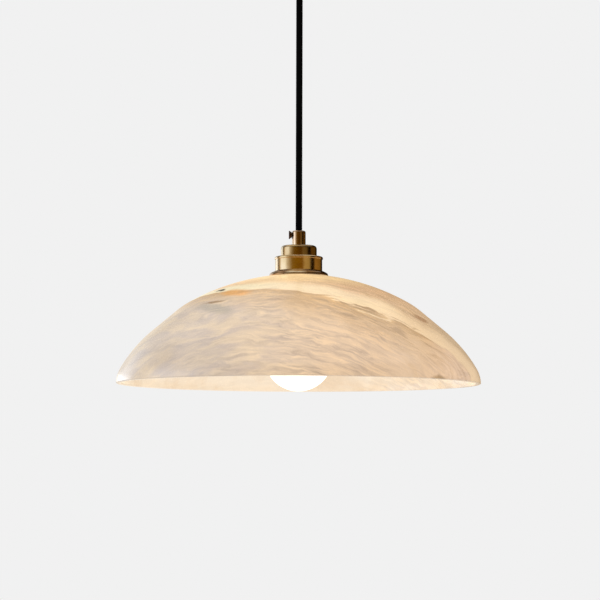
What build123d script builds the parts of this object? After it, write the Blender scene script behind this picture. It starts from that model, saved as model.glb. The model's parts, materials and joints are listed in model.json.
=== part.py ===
from build123d import *
import math
import os

os.makedirs("parts", exist_ok=True)

# A pendant light: a ceiling rose, a textile cord and a lampholder that carries a shallow alabaster shade.
# Sizes are in millimetres. The ceiling is the plane z = 0, and the lamp hangs below it on the Z axis.

# Cord
cord_diameter = 6.5
cord_length = 235.0             # free stretch between the mouths of the two cord grips
neck_length = 10.0              # stretch at the ceiling in which the cord bends
core_diameter = 1.7             # live, neutral and earth cores inside the cord
core_spread = 1.7               # distance of each core from the cord's axis

# Shade, a dome of tangent arcs given by how far each one turns downwards
shade_diameter = 350.0
shade_height = 106.0            # rim to the top of the dome, before its seat is ground flat
shade_wall = 5.0
shade_rim_round = 1.6
crown_turn = 29.4
shoulder_turn = 10.6
haunch_turn = 20.0
shoulder_radius = 85.0
rim_radius = 29.0
flank_length = 29.0             # straight stretch between shoulder and haunch
seat_cut = 1.5                  # depth of the flat ground on top of the dome
seat_wall = 4.5                 # wall left between the two ground seats
shade_hole_gap = 1.0            # room round the sleeve, on the radius

# Cord grip with its pressure pad and thumb screw
grip_diameter = 13.2
grip_length = 14.7
grip_edge_round = 1.8
mouth_round = 0.6
nipple_diameter = 10.0
nipple_length = 6.0
nut_thickness = 3.0
nut_across_flats = 14.0
screw_from_mouth = 4.0
screw_diameter = 3.9
pad_thickness = 1.0
pad_slack = 0.1                 # the pad is smaller than its hole by this on the radius
head_diameter = 8.0
head_neck_diameter = 6.0
head_neck_length = 0.9
head_flare_length = 1.2
head_rim_length = 0.7
head_slot_width = 0.9
head_slot_depth = 0.9

# Lampholder
cap_diameter = 34.7
cap_height = 10.8
cap_wall = 1.4
cap_edge_round = 2.8
cap_neck_diameter = 32.0
cap_neck_length = 3.3
body_diameter = 45.3
body_height = 13.8
body_wall = 1.2
body_plate = 1.6
lip_height = 2.6
lip_proud = 0.7
lip_round = 1.25
lip_under_round = 0.6
collar_diameter = 57.0
collar_height = 4.7
collar_edge = 2.1               # upright edge below the bevel, before the corner is rounded
collar_round = 3.0
collar_land = 0.3               # flat left round the body on top of the bevel
sleeve_diameter = 40.0
sleeve_wall = 1.6
sleeve_drop = 24.0              # length below the collar
sleeve_flange_height = 4.0
thread_pitch = 2.5
thread_depth = 0.5
insulator_diameter = 35.6
insulator_drop = 2.0            # the sleeve reaches below the insulator by this
insulator_flange_height = 3.0
insulator_floor = 6.0           # thickness of the floor above the bulb's socket
shell_bore = 26.8
shell_wall = 0.6
shell_length = 25.0
shell_room = 1.2                # room round the shell in the insulator
contact_thickness = 0.5
contact_width = 6.0
contact_reach = 3.5             # how far the tongue passes the axis
contact_drop = 2.5              # from the insulator's floor to the bulb's contact
post_radius = 9.0
post_width = 6.0
post_height = 6.5
post_wire_level = 3.2
post_hole_diameter = 2.4
post_screw_diameter = 2.8
post_screw_head_diameter = 4.4
post_screw_head_height = 1.8
post_tongue_width = 4.0
rivet_diameter = 3.0
rivet_head_diameter = 4.8
rivet_head_height = 0.6

# Shade fixing
gasket_thickness_top = 1.0
gasket_thickness_low = 1.5
gasket_width_top = 2.9
gasket_width_low = 4.7
ring_flange_diameter = 52.0
ring_flange_height = 2.2
ring_hub_diameter = 44.0
ring_height = 7.0
ring_notches = 12
ring_notch_diameter = 5.0

# Bulb
bulb_length = 118.0
bulb_diameter = 66.0
bulb_neck_diameter = 26.4
glass_wall = 1.0
cap_thread_diameter = 26.2
cap_thread_depth = 1.1
cap_thread_pitch = 3.629
cap_thread_turns = 5
cap_sheet = 0.5                 # brass sheet that the bulb's cap is pressed from
cap_start = 4.6                 # from the contact's tip to the top of the cap
cap_skirt = 3.0                 # plain skirt below the thread
contact_diameter = 9.0
contact_height = 2.2
contact_round = 0.8
vitrite_top_diameter = 14.0
vitrite_lap = 1.4               # how far the insulator sits down in the cap
stem_base_thickness = 2.0
stem_diameter = 8.0
stem_length = 22.0
stem_rod_diameter = 2.8
stem_collar_diameter = 13.0
stem_hub_diameter = 19.0
stem_disc = 1.5
filament_diameter = 1.8
filament_length = 34.0
filament_count = 4
board_width = 18.0
board_thickness = 1.2
board_height = 13.0

# Ceiling rose
rose_diameter = 100.0
rose_height = 30.0
rose_wall = 1.2
rose_corner_round = 8.0
strap_width = 20.0
strap_thickness = 1.5
ear_length = 16.0
ear_hole_drop = 9.0
slot_spacing = 60.0
slot_length = 12.0
slot_width = 4.5
way_count = 3
way_pitch = 9.0
strip_height = 12.0
strip_end = 5.0                 # housing beyond the centre of the last way
strip_edge_round = 0.8
strip_lap = 1.0                 # housing beyond each end of a sleeve
way_drop = 7.0                  # depth of the ways below the strap
way_sleeve_length = 14.0
way_sleeve_diameter = 4.5
way_sleeve_bore = 2.6
way_screw_diameter = 2.9
way_screw_spacing = 8.0
way_screw_sunk = 0.6
fixing_diameter = 2.4
fixing_head_diameter = 4.2
fixing_head_height = 1.6
earth_offset = 19.2             # earth screw, measured from the axis along -X
earth_screw_diameter = 3.9
earth_head_diameter = 6.4
earth_head_height = 2.4
lug_thickness = 0.6
lug_barrel_diameter = 2.8
lug_barrel_length = 5.0

# Clearances
face_gap = 0.1                  # between faces that only rest against each other
thread_gap = 0.05               # on the radius, between threads drawn plain
slip_gap = 0.3                  # on the radius, where one piece passes through another
seat_gap = 0.3                  # between the collar's edge and the shade

# Radii that several pieces share
cord_r = cord_diameter / 2
core_r = core_diameter / 2
grip_r = grip_diameter / 2
grip_bore_r = cord_r + slip_gap
nipple_r = nipple_diameter / 2
screw_r = screw_diameter / 2
screw_hole_r = screw_r + thread_gap
pad_r = screw_hole_r - pad_slack
cap_r = cap_diameter / 2
cap_neck_r = cap_neck_diameter / 2
cap_neck_bore_r = cap_neck_r - cap_wall
body_r = body_diameter / 2
body_bore_r = body_r - body_wall
sleeve_r = sleeve_diameter / 2
sleeve_bore_r = sleeve_r - sleeve_wall
insulator_r = insulator_diameter / 2
shell_bore_r = shell_bore / 2
shell_r = shell_bore_r + shell_wall
rivet_r = rivet_diameter / 2
gasket_bore_r = sleeve_r + slip_gap
gasket_top_r = gasket_bore_r + gasket_width_top
gasket_low_r = gasket_bore_r + gasket_width_low
rose_bore_r = rose_diameter / 2 - rose_wall

# Heights, worked down from the ceiling
z_rose_base = -rose_height
z_rose_mouth = z_rose_base - grip_length
z_tail_end = z_rose_mouth + screw_from_mouth - pad_r + slip_gap / 2
z_swing_side = z_tail_end - slip_gap - cord_r
z_swing_front = z_swing_side - neck_length
z_lamp_mouth = z_rose_mouth - cord_length
z_cap_top = z_lamp_mouth - grip_length
z_body_top = z_cap_top - cap_height
z_collar_top = z_body_top - body_height
z_collar_base = z_collar_top - collar_height
z_seat = z_collar_base - seat_gap
z_apex = z_seat + seat_cut
z_low_seat = z_seat - seat_wall
z_ring_top = z_low_seat - gasket_thickness_low
z_insulator_top = z_body_top - cap_neck_length
z_floor = z_insulator_top - insulator_floor
z_sleeve_top = z_collar_top + sleeve_flange_height
z_sleeve_base = z_collar_base - sleeve_drop
z_contact = z_floor - contact_drop
z_bulb_cap_top = z_contact - cap_start
z_bulb_cap_base = z_bulb_cap_top - cap_thread_turns * cap_thread_pitch - cap_skirt
z_bulb_tip = z_contact - bulb_length
z_way = -strap_thickness - way_drop
z_strip_base = -strap_thickness - strip_height

above = (Align.CENTER, Align.CENTER, Align.MIN)
below = (Align.CENTER, Align.CENTER, Align.MAX)
to_left = (0, -90, 0)           # turns a piece built along +Z to lie along -X
to_right = (0, 90, 0)
across = (90, 0, 0)             # turns a piece built along +Z to lie along Y


def keep(piece, label):
    """Name a finished sub-part and write it to its own file."""
    piece.part.label = label
    export_step(piece.part, f"parts/{label}.step")


def turned(outline):
    """A lathe-turned piece from its half outline of (radius, height) points."""
    with BuildPart() as piece:
        with BuildSketch(Plane.XZ):
            with BuildLine():
                Polyline(*outline, close=True)
            make_face()
        revolve(axis=Axis.Z)
    return piece


def core(points, radii, frame=Plane.XY):
    """One insulated core along straight runs joined by arcs, its points given in a frame."""
    with BuildPart() as wire:
        with BuildLine(frame) as route:
            FilletPolyline(*points, radius=radii)
        with BuildSketch(Plane(route.line @ 0, z_dir=route.line % 0)):
            Circle(core_r)
        sweep()
    return wire


# Shade
# The crown and the haunch take the radii at which the chain of arcs reaches the shade's width and height.
rim_turn = 90 - crown_turn - shoulder_turn - haunch_turn
crown_end = math.radians(crown_turn)
shoulder_end = math.radians(crown_turn + shoulder_turn)
haunch_end = math.radians(90 - rim_turn)
crown_out = math.sin(crown_end)
crown_down = 1 - math.cos(crown_end)
haunch_out = math.sin(haunch_end) - math.sin(shoulder_end)
haunch_down = math.cos(shoulder_end) - math.cos(haunch_end)
rest_out = (shade_diameter / 2 - shoulder_radius * (math.sin(shoulder_end) - crown_out)
            - flank_length * math.cos(shoulder_end) - rim_radius * (1 - math.sin(haunch_end)))
rest_down = (shade_height - shoulder_radius * (math.cos(crown_end) - math.cos(shoulder_end))
             - flank_length * math.sin(shoulder_end) - rim_radius * math.cos(haunch_end))
determinant = crown_out * haunch_down - haunch_out * crown_down
crown_radius = (rest_out * haunch_down - haunch_out * rest_down) / determinant
haunch_radius = (crown_out * rest_down - rest_out * crown_down) / determinant


def shade_face(inset):
    """One face of the dome from its top to its rim, set in from the outer face."""
    crown = JernArc((0, z_apex - inset), (1, 0), crown_radius - inset, -crown_turn)
    shoulder = JernArc(crown @ 1, crown % 1, shoulder_radius - inset, -shoulder_turn)
    flank = PolarLine(shoulder @ 1, flank_length, direction=shoulder % 1)
    haunch = JernArc(flank @ 1, flank % 1, haunch_radius - inset, -haunch_turn)
    return JernArc(haunch @ 1, haunch % 1, rim_radius - inset, -rim_turn)


with BuildPart() as shade:
    with BuildSketch(Plane.XZ):
        with BuildLine():
            outer = shade_face(0)
            inner = shade_face(shade_wall)
            Line(outer @ 1, inner @ 1)
            Line((0, z_apex), (0, z_apex - shade_wall))
        make_face()
    revolve(axis=Axis.Z)
    rim_edges = shade.edges().filter_by(GeomType.CIRCLE).group_by(Axis.Z)[0]
    fillet(rim_edges, radius=min(shade_rim_round, 0.45 * shade_wall))
    with Locations((0, 0, z_seat)):
        Cylinder(collar_diameter / 2, 2 * seat_cut, align=above, mode=Mode.SUBTRACT)
    with Locations((0, 0, z_low_seat)):
        Cylinder(gasket_low_r + slip_gap, shade_wall, align=below, mode=Mode.SUBTRACT)
    with Locations((0, 0, z_apex)):
        Hole(sleeve_r + shade_hole_gap)
keep(shade, "shade")


# Cord grips
# Each is built on a plane that lies in its mouth and faces the way the cord leaves.
lamp_mouth = Plane((0, 0, z_lamp_mouth), x_dir=(1, 0, 0), z_dir=(0, 0, 1))
rose_mouth = Plane((0, 0, z_rose_mouth), x_dir=(1, 0, 0), z_dir=(0, 0, -1))
pad_face = cord_r + face_gap
screw_tip = pad_face + pad_thickness + thread_gap
head_seat = grip_r + slip_gap


def cord_grip(mouth):
    """Turned body with a threaded nipple, a bore for the cord and a tapped side hole."""
    with BuildPart(mouth) as grip:
        Cylinder(grip_r, grip_length, align=below)
        with Locations((0, 0, -grip_length)):
            Cylinder(nipple_r, nipple_length, align=below)
        Hole(grip_bore_r)
        mouth_edges = grip.edges().group_by(Axis(mouth.origin, mouth.z_dir))[-1].sort_by(SortBy.RADIUS)
        fillet(mouth_edges[0], radius=mouth_round)
        fillet(mouth_edges[-1], radius=grip_edge_round)
        with Locations(Location((0, 0, -screw_from_mouth), to_left)):
            Cylinder(screw_hole_r, 2 * grip_r, align=above, mode=Mode.SUBTRACT)
    return grip


def grip_pad(mouth):
    """Disc that the thumb screw presses against the cord."""
    with BuildPart(mouth) as pad:
        with Locations(Location((-pad_face, 0, -screw_from_mouth), to_left)):
            Cylinder(pad_r, pad_thickness, align=above)
    return pad


def thumb_screw(seat, shank_length):
    """Slotted screw with a flared head that stands on the given plane, its shank below it."""
    with BuildPart(seat) as screw:
        Cylinder(screw_r, shank_length, align=below)
        Cylinder(head_neck_diameter / 2, head_neck_length, align=above)
        with Locations((0, 0, head_neck_length)):
            Cone(head_neck_diameter / 2, head_diameter / 2, head_flare_length, align=above)
        with Locations((0, 0, head_neck_length + head_flare_length)):
            Cylinder(head_diameter / 2, head_rim_length, align=above)
        with Locations((0, 0, head_neck_length + head_flare_length + head_rim_length)):
            Box(2 * head_diameter, head_slot_width, head_slot_depth, align=below, mode=Mode.SUBTRACT)
    return screw


def lock_nut(seat):
    """Hexagon nut on the grip's nipple, its outer face on the given plane."""
    with BuildPart(seat) as nut:
        with BuildSketch(seat):
            RegularPolygon(nut_across_flats / 2, 6, major_radius=False)
            Circle(nipple_r + thread_gap, mode=Mode.SUBTRACT)
        extrude(amount=-nut_thickness)
    return nut


for place, mouth, wall in (("lamp", lamp_mouth, cap_wall), ("rose", rose_mouth, rose_wall)):
    screw_level = mouth.origin.Z - mouth.z_dir.Z * screw_from_mouth
    screw_seat = Plane((-head_seat, 0, screw_level), x_dir=(0, 0, 1), z_dir=(-1, 0, 0))
    keep(cord_grip(mouth), f"{place}_cord_grip")
    keep(grip_pad(mouth), f"{place}_grip_pad")
    keep(thumb_screw(screw_seat, head_seat - screw_tip), f"{place}_grip_screw")
    keep(lock_nut(mouth.offset(-grip_length - wall)), f"{place}_grip_nut")


# Cord
# The free stretch bends at two points below the ceiling grip, where a rounded end turns in each.
with BuildPart() as cord_neck:
    with Locations((0, 0, z_swing_side)):
        Sphere(cord_r)
        Cylinder(cord_r, neck_length - cord_r - slip_gap, align=below)
keep(cord_neck, "cord_neck")

with BuildPart() as cord:
    with Locations((0, 0, z_swing_front)):
        Sphere(cord_r)
        Cylinder(cord_r, z_swing_front - z_lamp_mouth - face_gap, align=below)
keep(cord, "cord")

z_tail_top = z_rose_base + nipple_length + face_gap
with BuildPart() as cord_tail:
    with Locations((0, 0, z_tail_end)):
        Cylinder(cord_r, z_tail_top - z_tail_end, align=above)
keep(cord_tail, "cord_tail")

z_end_base = z_cap_top - nipple_length - face_gap
with BuildPart() as cord_end:
    with Locations((0, 0, z_lamp_mouth)):
        Cylinder(cord_r, z_lamp_mouth - z_end_base, align=below)
keep(cord_end, "cord_end")


# Lampholder
nipple_hole_r = nipple_r + face_gap
with BuildPart() as holder_cap:
    with BuildSketch(Plane.XZ):
        with BuildLine():
            Polyline((nipple_hole_r, z_cap_top), (cap_r, z_cap_top), (cap_r, z_body_top),
                     (cap_neck_r, z_body_top), (cap_neck_r, z_insulator_top),
                     (cap_neck_bore_r, z_insulator_top), (cap_neck_bore_r, z_body_top + cap_wall),
                     (cap_r - cap_wall, z_body_top + cap_wall), (cap_r - cap_wall, z_cap_top - cap_wall),
                     (nipple_hole_r, z_cap_top - cap_wall), close=True)
        make_face()
    revolve(axis=Axis.Z)
    fillet(holder_cap.edges().group_by(Axis.Z)[-1].sort_by(SortBy.RADIUS)[-1], radius=cap_edge_round)
keep(holder_cap, "holder_cap")

plate_hole_r = cap_neck_r + face_gap
lip_r = body_r + lip_proud
with BuildPart() as holder_body:
    with BuildSketch(Plane.XZ):
        with BuildLine():
            Polyline((plate_hole_r, z_body_top), (lip_r, z_body_top), (lip_r, z_body_top - lip_height),
                     (body_r, z_body_top - lip_height), (body_r, z_collar_top), (body_bore_r, z_collar_top),
                     (body_bore_r, z_body_top - body_plate), (plate_hole_r, z_body_top - body_plate),
                     close=True)
        make_face()
    revolve(axis=Axis.Z)
    lip_edges = holder_body.edges().filter_by(GeomType.CIRCLE).sort_by(SortBy.RADIUS)[-2:].sort_by(Axis.Z)
    fillet(lip_edges[0], radius=lip_under_round)
    fillet(lip_edges[1], radius=lip_round)
keep(holder_body, "holder_body")

recess_r = gasket_top_r + slip_gap
recess_top = z_seat + gasket_thickness_top
collar_bore_r = sleeve_r + face_gap
shade_collar = turned([(collar_bore_r, z_collar_top), (body_r + collar_land, z_collar_top),
                       (collar_diameter / 2, z_collar_base + collar_edge), (collar_diameter / 2, z_collar_base),
                       (recess_r, z_collar_base), (recess_r, recess_top), (collar_bore_r, recess_top)])
with shade_collar:
    rim_circles = shade_collar.edges().filter_by(GeomType.CIRCLE).sort_by(SortBy.RADIUS)[-2:]
    fillet(rim_circles.sort_by(Axis.Z)[-1], radius=collar_round)
keep(shade_collar, "shade_collar")

# The sleeve's thread is drawn as rings of its pitch and depth.
groove_flank = 0.3 * thread_pitch
groove_root = 0.2 * thread_pitch
groove_count = math.floor((sleeve_drop - seat_gap - seat_wall) / thread_pitch)
sleeve_outline = [(sleeve_bore_r, z_sleeve_top), (body_bore_r - face_gap, z_sleeve_top),
                  (body_bore_r - face_gap, z_collar_top), (sleeve_r, z_collar_top)]
for groove in range(groove_count):
    groove_top = z_low_seat - groove * thread_pitch
    sleeve_outline += [(sleeve_r, groove_top), (sleeve_r - thread_depth, groove_top - groove_flank),
                       (sleeve_r - thread_depth, groove_top - groove_flank - groove_root),
                       (sleeve_r, groove_top - 2 * groove_flank - groove_root)]
sleeve_outline += [(sleeve_r, z_sleeve_base), (sleeve_bore_r, z_sleeve_base)]
keep(turned(sleeve_outline), "holder_sleeve")

post_angles = {"live_terminal": 0, "earth_terminal": 90, "neutral_terminal": 180}


def heading_plane(angle, height):
    """Level plane whose X axis points at a terminal."""
    heading = math.radians(angle)
    return Plane((0, 0, height), x_dir=(math.cos(heading), math.sin(heading), 0))


cavity_r = shell_r + shell_room
z_insulator_base = z_sleeve_base + insulator_drop
flange_top = z_sleeve_top + insulator_flange_height
flange_r = body_bore_r - slip_gap
with BuildPart() as socket_insulator:
    with BuildSketch(Plane.XZ):
        with BuildLine():
            Polyline((0, z_insulator_top), (insulator_r, z_insulator_top), (insulator_r, flange_top),
                     (flange_r, flange_top), (flange_r, z_sleeve_top), (insulator_r, z_sleeve_top),
                     (insulator_r, z_insulator_base), (cavity_r, z_insulator_base), (cavity_r, z_floor),
                     (0, z_floor), close=True)
        make_face()
    revolve(axis=Axis.Z)
    with Locations((0, 0, z_insulator_top)):
        for angle in post_angles.values():
            with PolarLocations(post_radius, 1, start_angle=angle):
                Hole(rivet_r + thread_gap)
keep(socket_insulator, "socket_insulator")

plate_edge = post_radius - rivet_head_diameter / 2 - slip_gap
with BuildPart() as screw_shell:
    with BuildSketch(Plane.XY.offset(z_floor)):
        Circle(shell_r)
        Circle(shell_bore_r, mode=Mode.SUBTRACT)
    extrude(amount=-shell_length)
    with BuildSketch(heading_plane(post_angles["neutral_terminal"], z_floor)):
        Circle(shell_r)
        with Locations((plate_edge - shell_r, 0)):
            Rectangle(2 * shell_r, 2 * shell_r, mode=Mode.SUBTRACT)
        with Locations((post_radius, 0)):
            Circle(rivet_r + thread_gap, mode=Mode.SUBTRACT)
    extrude(amount=-shell_wall)
keep(screw_shell, "screw_shell")

# The tongue lies under the floor at its rivet, then steps down to meet the bulb's contact.
contact_root = post_radius + rivet_head_diameter / 2 + slip_gap
contact_bend = post_radius - rivet_head_diameter / 2 - slip_gap
contact_foot = z_contact + thread_gap
live_plane = heading_plane(post_angles["live_terminal"], 0)
with BuildPart() as centre_contact:
    with BuildSketch(Plane((0, 0, 0), x_dir=live_plane.x_dir, z_dir=-live_plane.y_dir)):
        with BuildLine():
            Polyline((contact_root, z_floor), (contact_bend, z_floor),
                     (contact_reach / 2, contact_foot + contact_thickness),
                     (-contact_reach, contact_foot + contact_thickness), (-contact_reach, contact_foot),
                     (contact_reach / 2, contact_foot), (contact_bend, z_floor - contact_thickness),
                     (contact_root, z_floor - contact_thickness), close=True)
        make_face()
    extrude(amount=contact_width / 2, both=True)
    with Locations((0, 0, z_floor)):
        with PolarLocations(post_radius, 1, start_angle=post_angles["live_terminal"]):
            Hole(rivet_r + thread_gap)
keep(centre_contact, "centre_contact")

# Each core comes straight down out of the cord and turns outwards into its terminal.
wire_stop = post_radius + post_width / 4
core_turn = 1.2 * core_diameter
tongue_reach = math.sqrt(cap_neck_bore_r ** 2 - (post_tongue_width / 2) ** 2) - thread_gap
clamped_under = {"live_terminal": contact_thickness, "earth_terminal": 0, "neutral_terminal": shell_wall}
for label, angle in post_angles.items():
    rivet_length = insulator_floor + clamped_under[label]
    with BuildPart(heading_plane(angle, z_insulator_top)) as terminal:
        with Locations((post_radius, 0, 0)):
            Box(post_width, post_width, post_height, align=above)
            Cylinder(rivet_r, rivet_length, align=below)
        if label == "earth_terminal":
            with Locations((post_radius, 0, 0)):
                Box(tongue_reach - post_radius, post_tongue_width, cap_neck_length,
                    align=(Align.MIN, Align.CENTER, Align.MIN))
        with Locations((post_radius, 0, -rivet_length)):
            Cylinder(rivet_head_diameter / 2, rivet_head_height, align=below)
        with Locations(Location((wire_stop, 0, post_wire_level), to_left)):
            Cylinder(post_hole_diameter / 2, 2 * post_width, align=above, mode=Mode.SUBTRACT)
        with Locations((post_radius, 0, post_wire_level)):
            Cylinder(post_screw_diameter / 2 + thread_gap, post_height, align=above, mode=Mode.SUBTRACT)
    keep(terminal, label)
    wire_end = wire_stop - face_gap
    keep(core([(core_spread, 0, z_end_base - z_insulator_top), (core_spread, 0, post_wire_level),
               (wire_end, 0, post_wire_level)], core_turn, heading_plane(angle, z_insulator_top)),
         f"holder_{label.removesuffix('_terminal')}_core")

with BuildPart() as holder_terminal_screws:
    with Locations((0, 0, z_insulator_top + post_height + face_gap)):
        for angle in post_angles.values():
            with PolarLocations(post_radius, 1, start_angle=angle):
                Cylinder(post_screw_head_diameter / 2, post_screw_head_height, align=above)
                Cylinder(post_screw_diameter / 2, post_height - post_wire_level - core_r, align=below)
    with Locations((0, 0, z_insulator_top + post_height + face_gap + post_screw_head_height)):
        for angle in post_angles.values():
            with PolarLocations(post_radius, 1, start_angle=angle):
                Box(2 * post_screw_head_diameter, head_slot_width, head_slot_width, align=below,
                    mode=Mode.SUBTRACT)
keep(holder_terminal_screws, "holder_terminal_screws")


# Shade fixing
keep(turned([(gasket_bore_r, z_seat), (gasket_top_r, z_seat), (gasket_top_r, recess_top),
             (gasket_bore_r, recess_top)]), "upper_gasket")
keep(turned([(gasket_bore_r, z_low_seat), (gasket_low_r, z_low_seat), (gasket_low_r, z_ring_top),
             (gasket_bore_r, z_ring_top)]), "lower_gasket")

with BuildPart() as shade_ring:
    with BuildSketch(Plane.XY.offset(z_ring_top)):
        Circle(ring_flange_diameter / 2)
        with PolarLocations(ring_flange_diameter / 2 + ring_notch_diameter / 4, ring_notches):
            Circle(ring_notch_diameter / 2, mode=Mode.SUBTRACT)
    extrude(amount=-ring_flange_height)
    with BuildSketch(Plane.XY.offset(z_ring_top)):
        Circle(ring_hub_diameter / 2)
    extrude(amount=-ring_height)
    with Locations((0, 0, z_ring_top)):
        Hole(sleeve_r + face_gap)
keep(shade_ring, "shade_ring")


# Bulb
with BuildPart() as bulb_contact:
    with Locations((0, 0, z_contact)):
        Cylinder(contact_diameter / 2, contact_height, align=below)
    fillet(bulb_contact.edges().group_by(Axis.Z)[-1], radius=contact_round)
keep(bulb_contact, "bulb_contact")

cap_crest_r = cap_thread_diameter / 2
cap_root_r = cap_crest_r - cap_thread_depth
cap_mean_r = (cap_crest_r + cap_root_r) / 2
cap_bore_r = cap_root_r - cap_sheet
vitrite_r = cap_bore_r - face_gap
vitrite_top = z_contact - contact_height / 2
keep(turned([(contact_diameter / 2 + face_gap, vitrite_top), (vitrite_top_diameter / 2, vitrite_top),
             (vitrite_r, z_bulb_cap_top), (vitrite_r, z_bulb_cap_top - vitrite_lap),
             (contact_diameter / 2 + face_gap, z_bulb_cap_top - vitrite_lap)]), "bulb_insulator")

# The bulb's rounded thread is drawn as rings of its pitch and depth.
with BuildPart() as bulb_cap:
    with BuildSketch(Plane.XZ):
        with BuildLine():
            for turn in range(cap_thread_turns):
                z_turn = z_bulb_cap_top - turn * cap_thread_pitch
                ThreePointArc((cap_mean_r, z_turn), (cap_crest_r, z_turn - cap_thread_pitch / 4),
                              (cap_mean_r, z_turn - cap_thread_pitch / 2))
                ThreePointArc((cap_mean_r, z_turn - cap_thread_pitch / 2),
                              (cap_root_r, z_turn - 3 * cap_thread_pitch / 4),
                              (cap_mean_r, z_turn - cap_thread_pitch))
            Polyline((cap_mean_r, z_bulb_cap_base + cap_skirt), (cap_mean_r, z_bulb_cap_base),
                     (cap_bore_r, z_bulb_cap_base), (cap_bore_r, z_bulb_cap_top),
                     (cap_mean_r, z_bulb_cap_top))
        make_face()
    revolve(axis=Axis.Z)
keep(bulb_cap, "bulb_cap")

# The globe is a sphere that a hollow curve draws out into the neck.
bulb_r = bulb_diameter / 2
bulb_neck_r = bulb_neck_diameter / 2
z_bulb_neck = z_bulb_cap_base - face_gap
z_bulb_centre = z_bulb_tip + bulb_r
neck_drop = z_bulb_neck - z_bulb_centre
neck_curve_r = (bulb_neck_r ** 2 + neck_drop ** 2 - bulb_r ** 2) / (2 * (bulb_r - bulb_neck_r))
neck_turn = math.degrees(math.atan2(neck_drop, bulb_neck_r + neck_curve_r))
glass_tail_r = cap_bore_r - face_gap
glass_shoulder_r = bulb_neck_r - glass_wall / 2
z_glass_top = z_bulb_neck + cap_skirt


def globe_face(inset):
    """One face of the globe from its neck to its lowest point, set in from the outer face."""
    neck = JernArc((bulb_neck_r - inset, z_bulb_neck), (0, -1), neck_curve_r + inset, neck_turn)
    return JernArc(neck @ 1, neck % 1, bulb_r - inset, -90 - neck_turn)


with BuildPart() as bulb_globe:
    with BuildSketch(Plane.XZ):
        with BuildLine():
            globe_outer = globe_face(0)
            globe_inner = globe_face(glass_wall)
            Line(globe_outer @ 1, globe_inner @ 1)
            Line((bulb_neck_r, z_bulb_neck), (bulb_neck_r - glass_wall, z_bulb_neck))
        make_face()
    revolve(axis=Axis.Z)
    with BuildSketch(Plane.XZ):
        with BuildLine():
            Polyline((glass_tail_r, z_glass_top), (glass_tail_r - glass_wall, z_glass_top),
                     (glass_tail_r - glass_wall, z_bulb_neck - glass_wall),
                     (glass_shoulder_r, z_bulb_neck - glass_wall), (glass_shoulder_r, z_bulb_neck),
                     (glass_tail_r, z_bulb_neck), close=True)
        make_face()
    revolve(axis=Axis.Z)
keep(bulb_globe, "bulb_globe")

z_stem_base = z_glass_top - stem_base_thickness
z_stem_collar = z_glass_top - stem_length
z_stem_hub = z_stem_collar - stem_disc - filament_length
stem_base_r = glass_tail_r - glass_wall - face_gap
keep(turned([(0, z_glass_top), (stem_base_r, z_glass_top), (stem_base_r, z_stem_base),
             (stem_diameter / 2, z_stem_base), (stem_diameter / 2, z_stem_collar),
             (stem_collar_diameter / 2, z_stem_collar), (stem_collar_diameter / 2, z_stem_collar - stem_disc),
             (stem_rod_diameter / 2, z_stem_collar - stem_disc), (stem_rod_diameter / 2, z_stem_hub),
             (stem_hub_diameter / 2, z_stem_hub), (stem_hub_diameter / 2, z_stem_hub - stem_disc),
             (0, z_stem_hub - stem_disc)]), "bulb_stem")

filament_radius = stem_collar_diameter / 2 - filament_diameter
with BuildPart() as bulb_filaments:
    with Locations((0, 0, z_stem_hub + face_gap)):
        with PolarLocations(filament_radius, filament_count):
            Cylinder(filament_diameter / 2, filament_length - 2 * face_gap, align=above)
keep(bulb_filaments, "bulb_filaments")

with BuildPart() as bulb_driver:
    with Locations((0, 0, z_glass_top)):
        Box(board_width, board_thickness, board_height, align=above)
    with Locations((0, board_thickness / 2, z_glass_top + board_height / 2)):
        with Locations((-board_width / 4, 0, 0), (board_width / 4, 0, 0)):
            Box(board_width / 4, 3 * board_thickness, board_height / 2,
                align=(Align.CENTER, Align.MIN, Align.CENTER))
keep(bulb_driver, "bulb_driver")


# Ceiling rose
with BuildPart() as rose_cup:
    with BuildSketch(Plane.XZ):
        with BuildLine():
            Polyline((nipple_hole_r, z_rose_base), (rose_diameter / 2, z_rose_base), (rose_diameter / 2, 0),
                     (rose_bore_r, 0), (rose_bore_r, z_rose_base + rose_wall),
                     (nipple_hole_r, z_rose_base + rose_wall), close=True)
        make_face()
    revolve(axis=Axis.Z)
    circles = rose_cup.edges().filter_by(GeomType.CIRCLE)
    outer_corner = circles.group_by(Axis.Z)[0].sort_by(SortBy.RADIUS)[-1]
    inner_corner = circles.group_by(Axis.Z)[1].sort_by(SortBy.RADIUS)[-1]
    fillet(outer_corner, radius=rose_corner_round)
    fillet(inner_corner, radius=rose_corner_round - rose_wall)
    with Locations(Location((0, 0, -ear_hole_drop), to_right)):
        Cylinder(screw_hole_r + face_gap, 2 * rose_diameter, mode=Mode.SUBTRACT)
keep(rose_cup, "rose_cup")

ear_x = math.sqrt(rose_bore_r ** 2 - (strap_width / 2) ** 2) - slip_gap
fixing_x = way_pitch / 2
with BuildPart() as mounting_bracket:
    with BuildSketch(Plane.XY):
        Rectangle(2 * ear_x, strap_width)
        with GridLocations(slot_spacing, 0, 2, 1):
            SlotOverall(slot_length, slot_width, mode=Mode.SUBTRACT)
        with GridLocations(2 * fixing_x, 0, 2, 1):
            Circle(fixing_diameter / 2 + thread_gap, mode=Mode.SUBTRACT)
        with Locations((-earth_offset, 0)):
            Circle(earth_screw_diameter / 2 + thread_gap, mode=Mode.SUBTRACT)
    extrude(amount=-strap_thickness)
    with GridLocations(2 * ear_x - strap_thickness, 0, 2, 1):
        Box(strap_thickness, strap_width, ear_length, align=below)
    with Locations(Location((0, 0, -ear_hole_drop), to_right)):
        Cylinder(screw_hole_r, 2 * rose_diameter, mode=Mode.SUBTRACT)
keep(mounting_bracket, "mounting_bracket")

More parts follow.
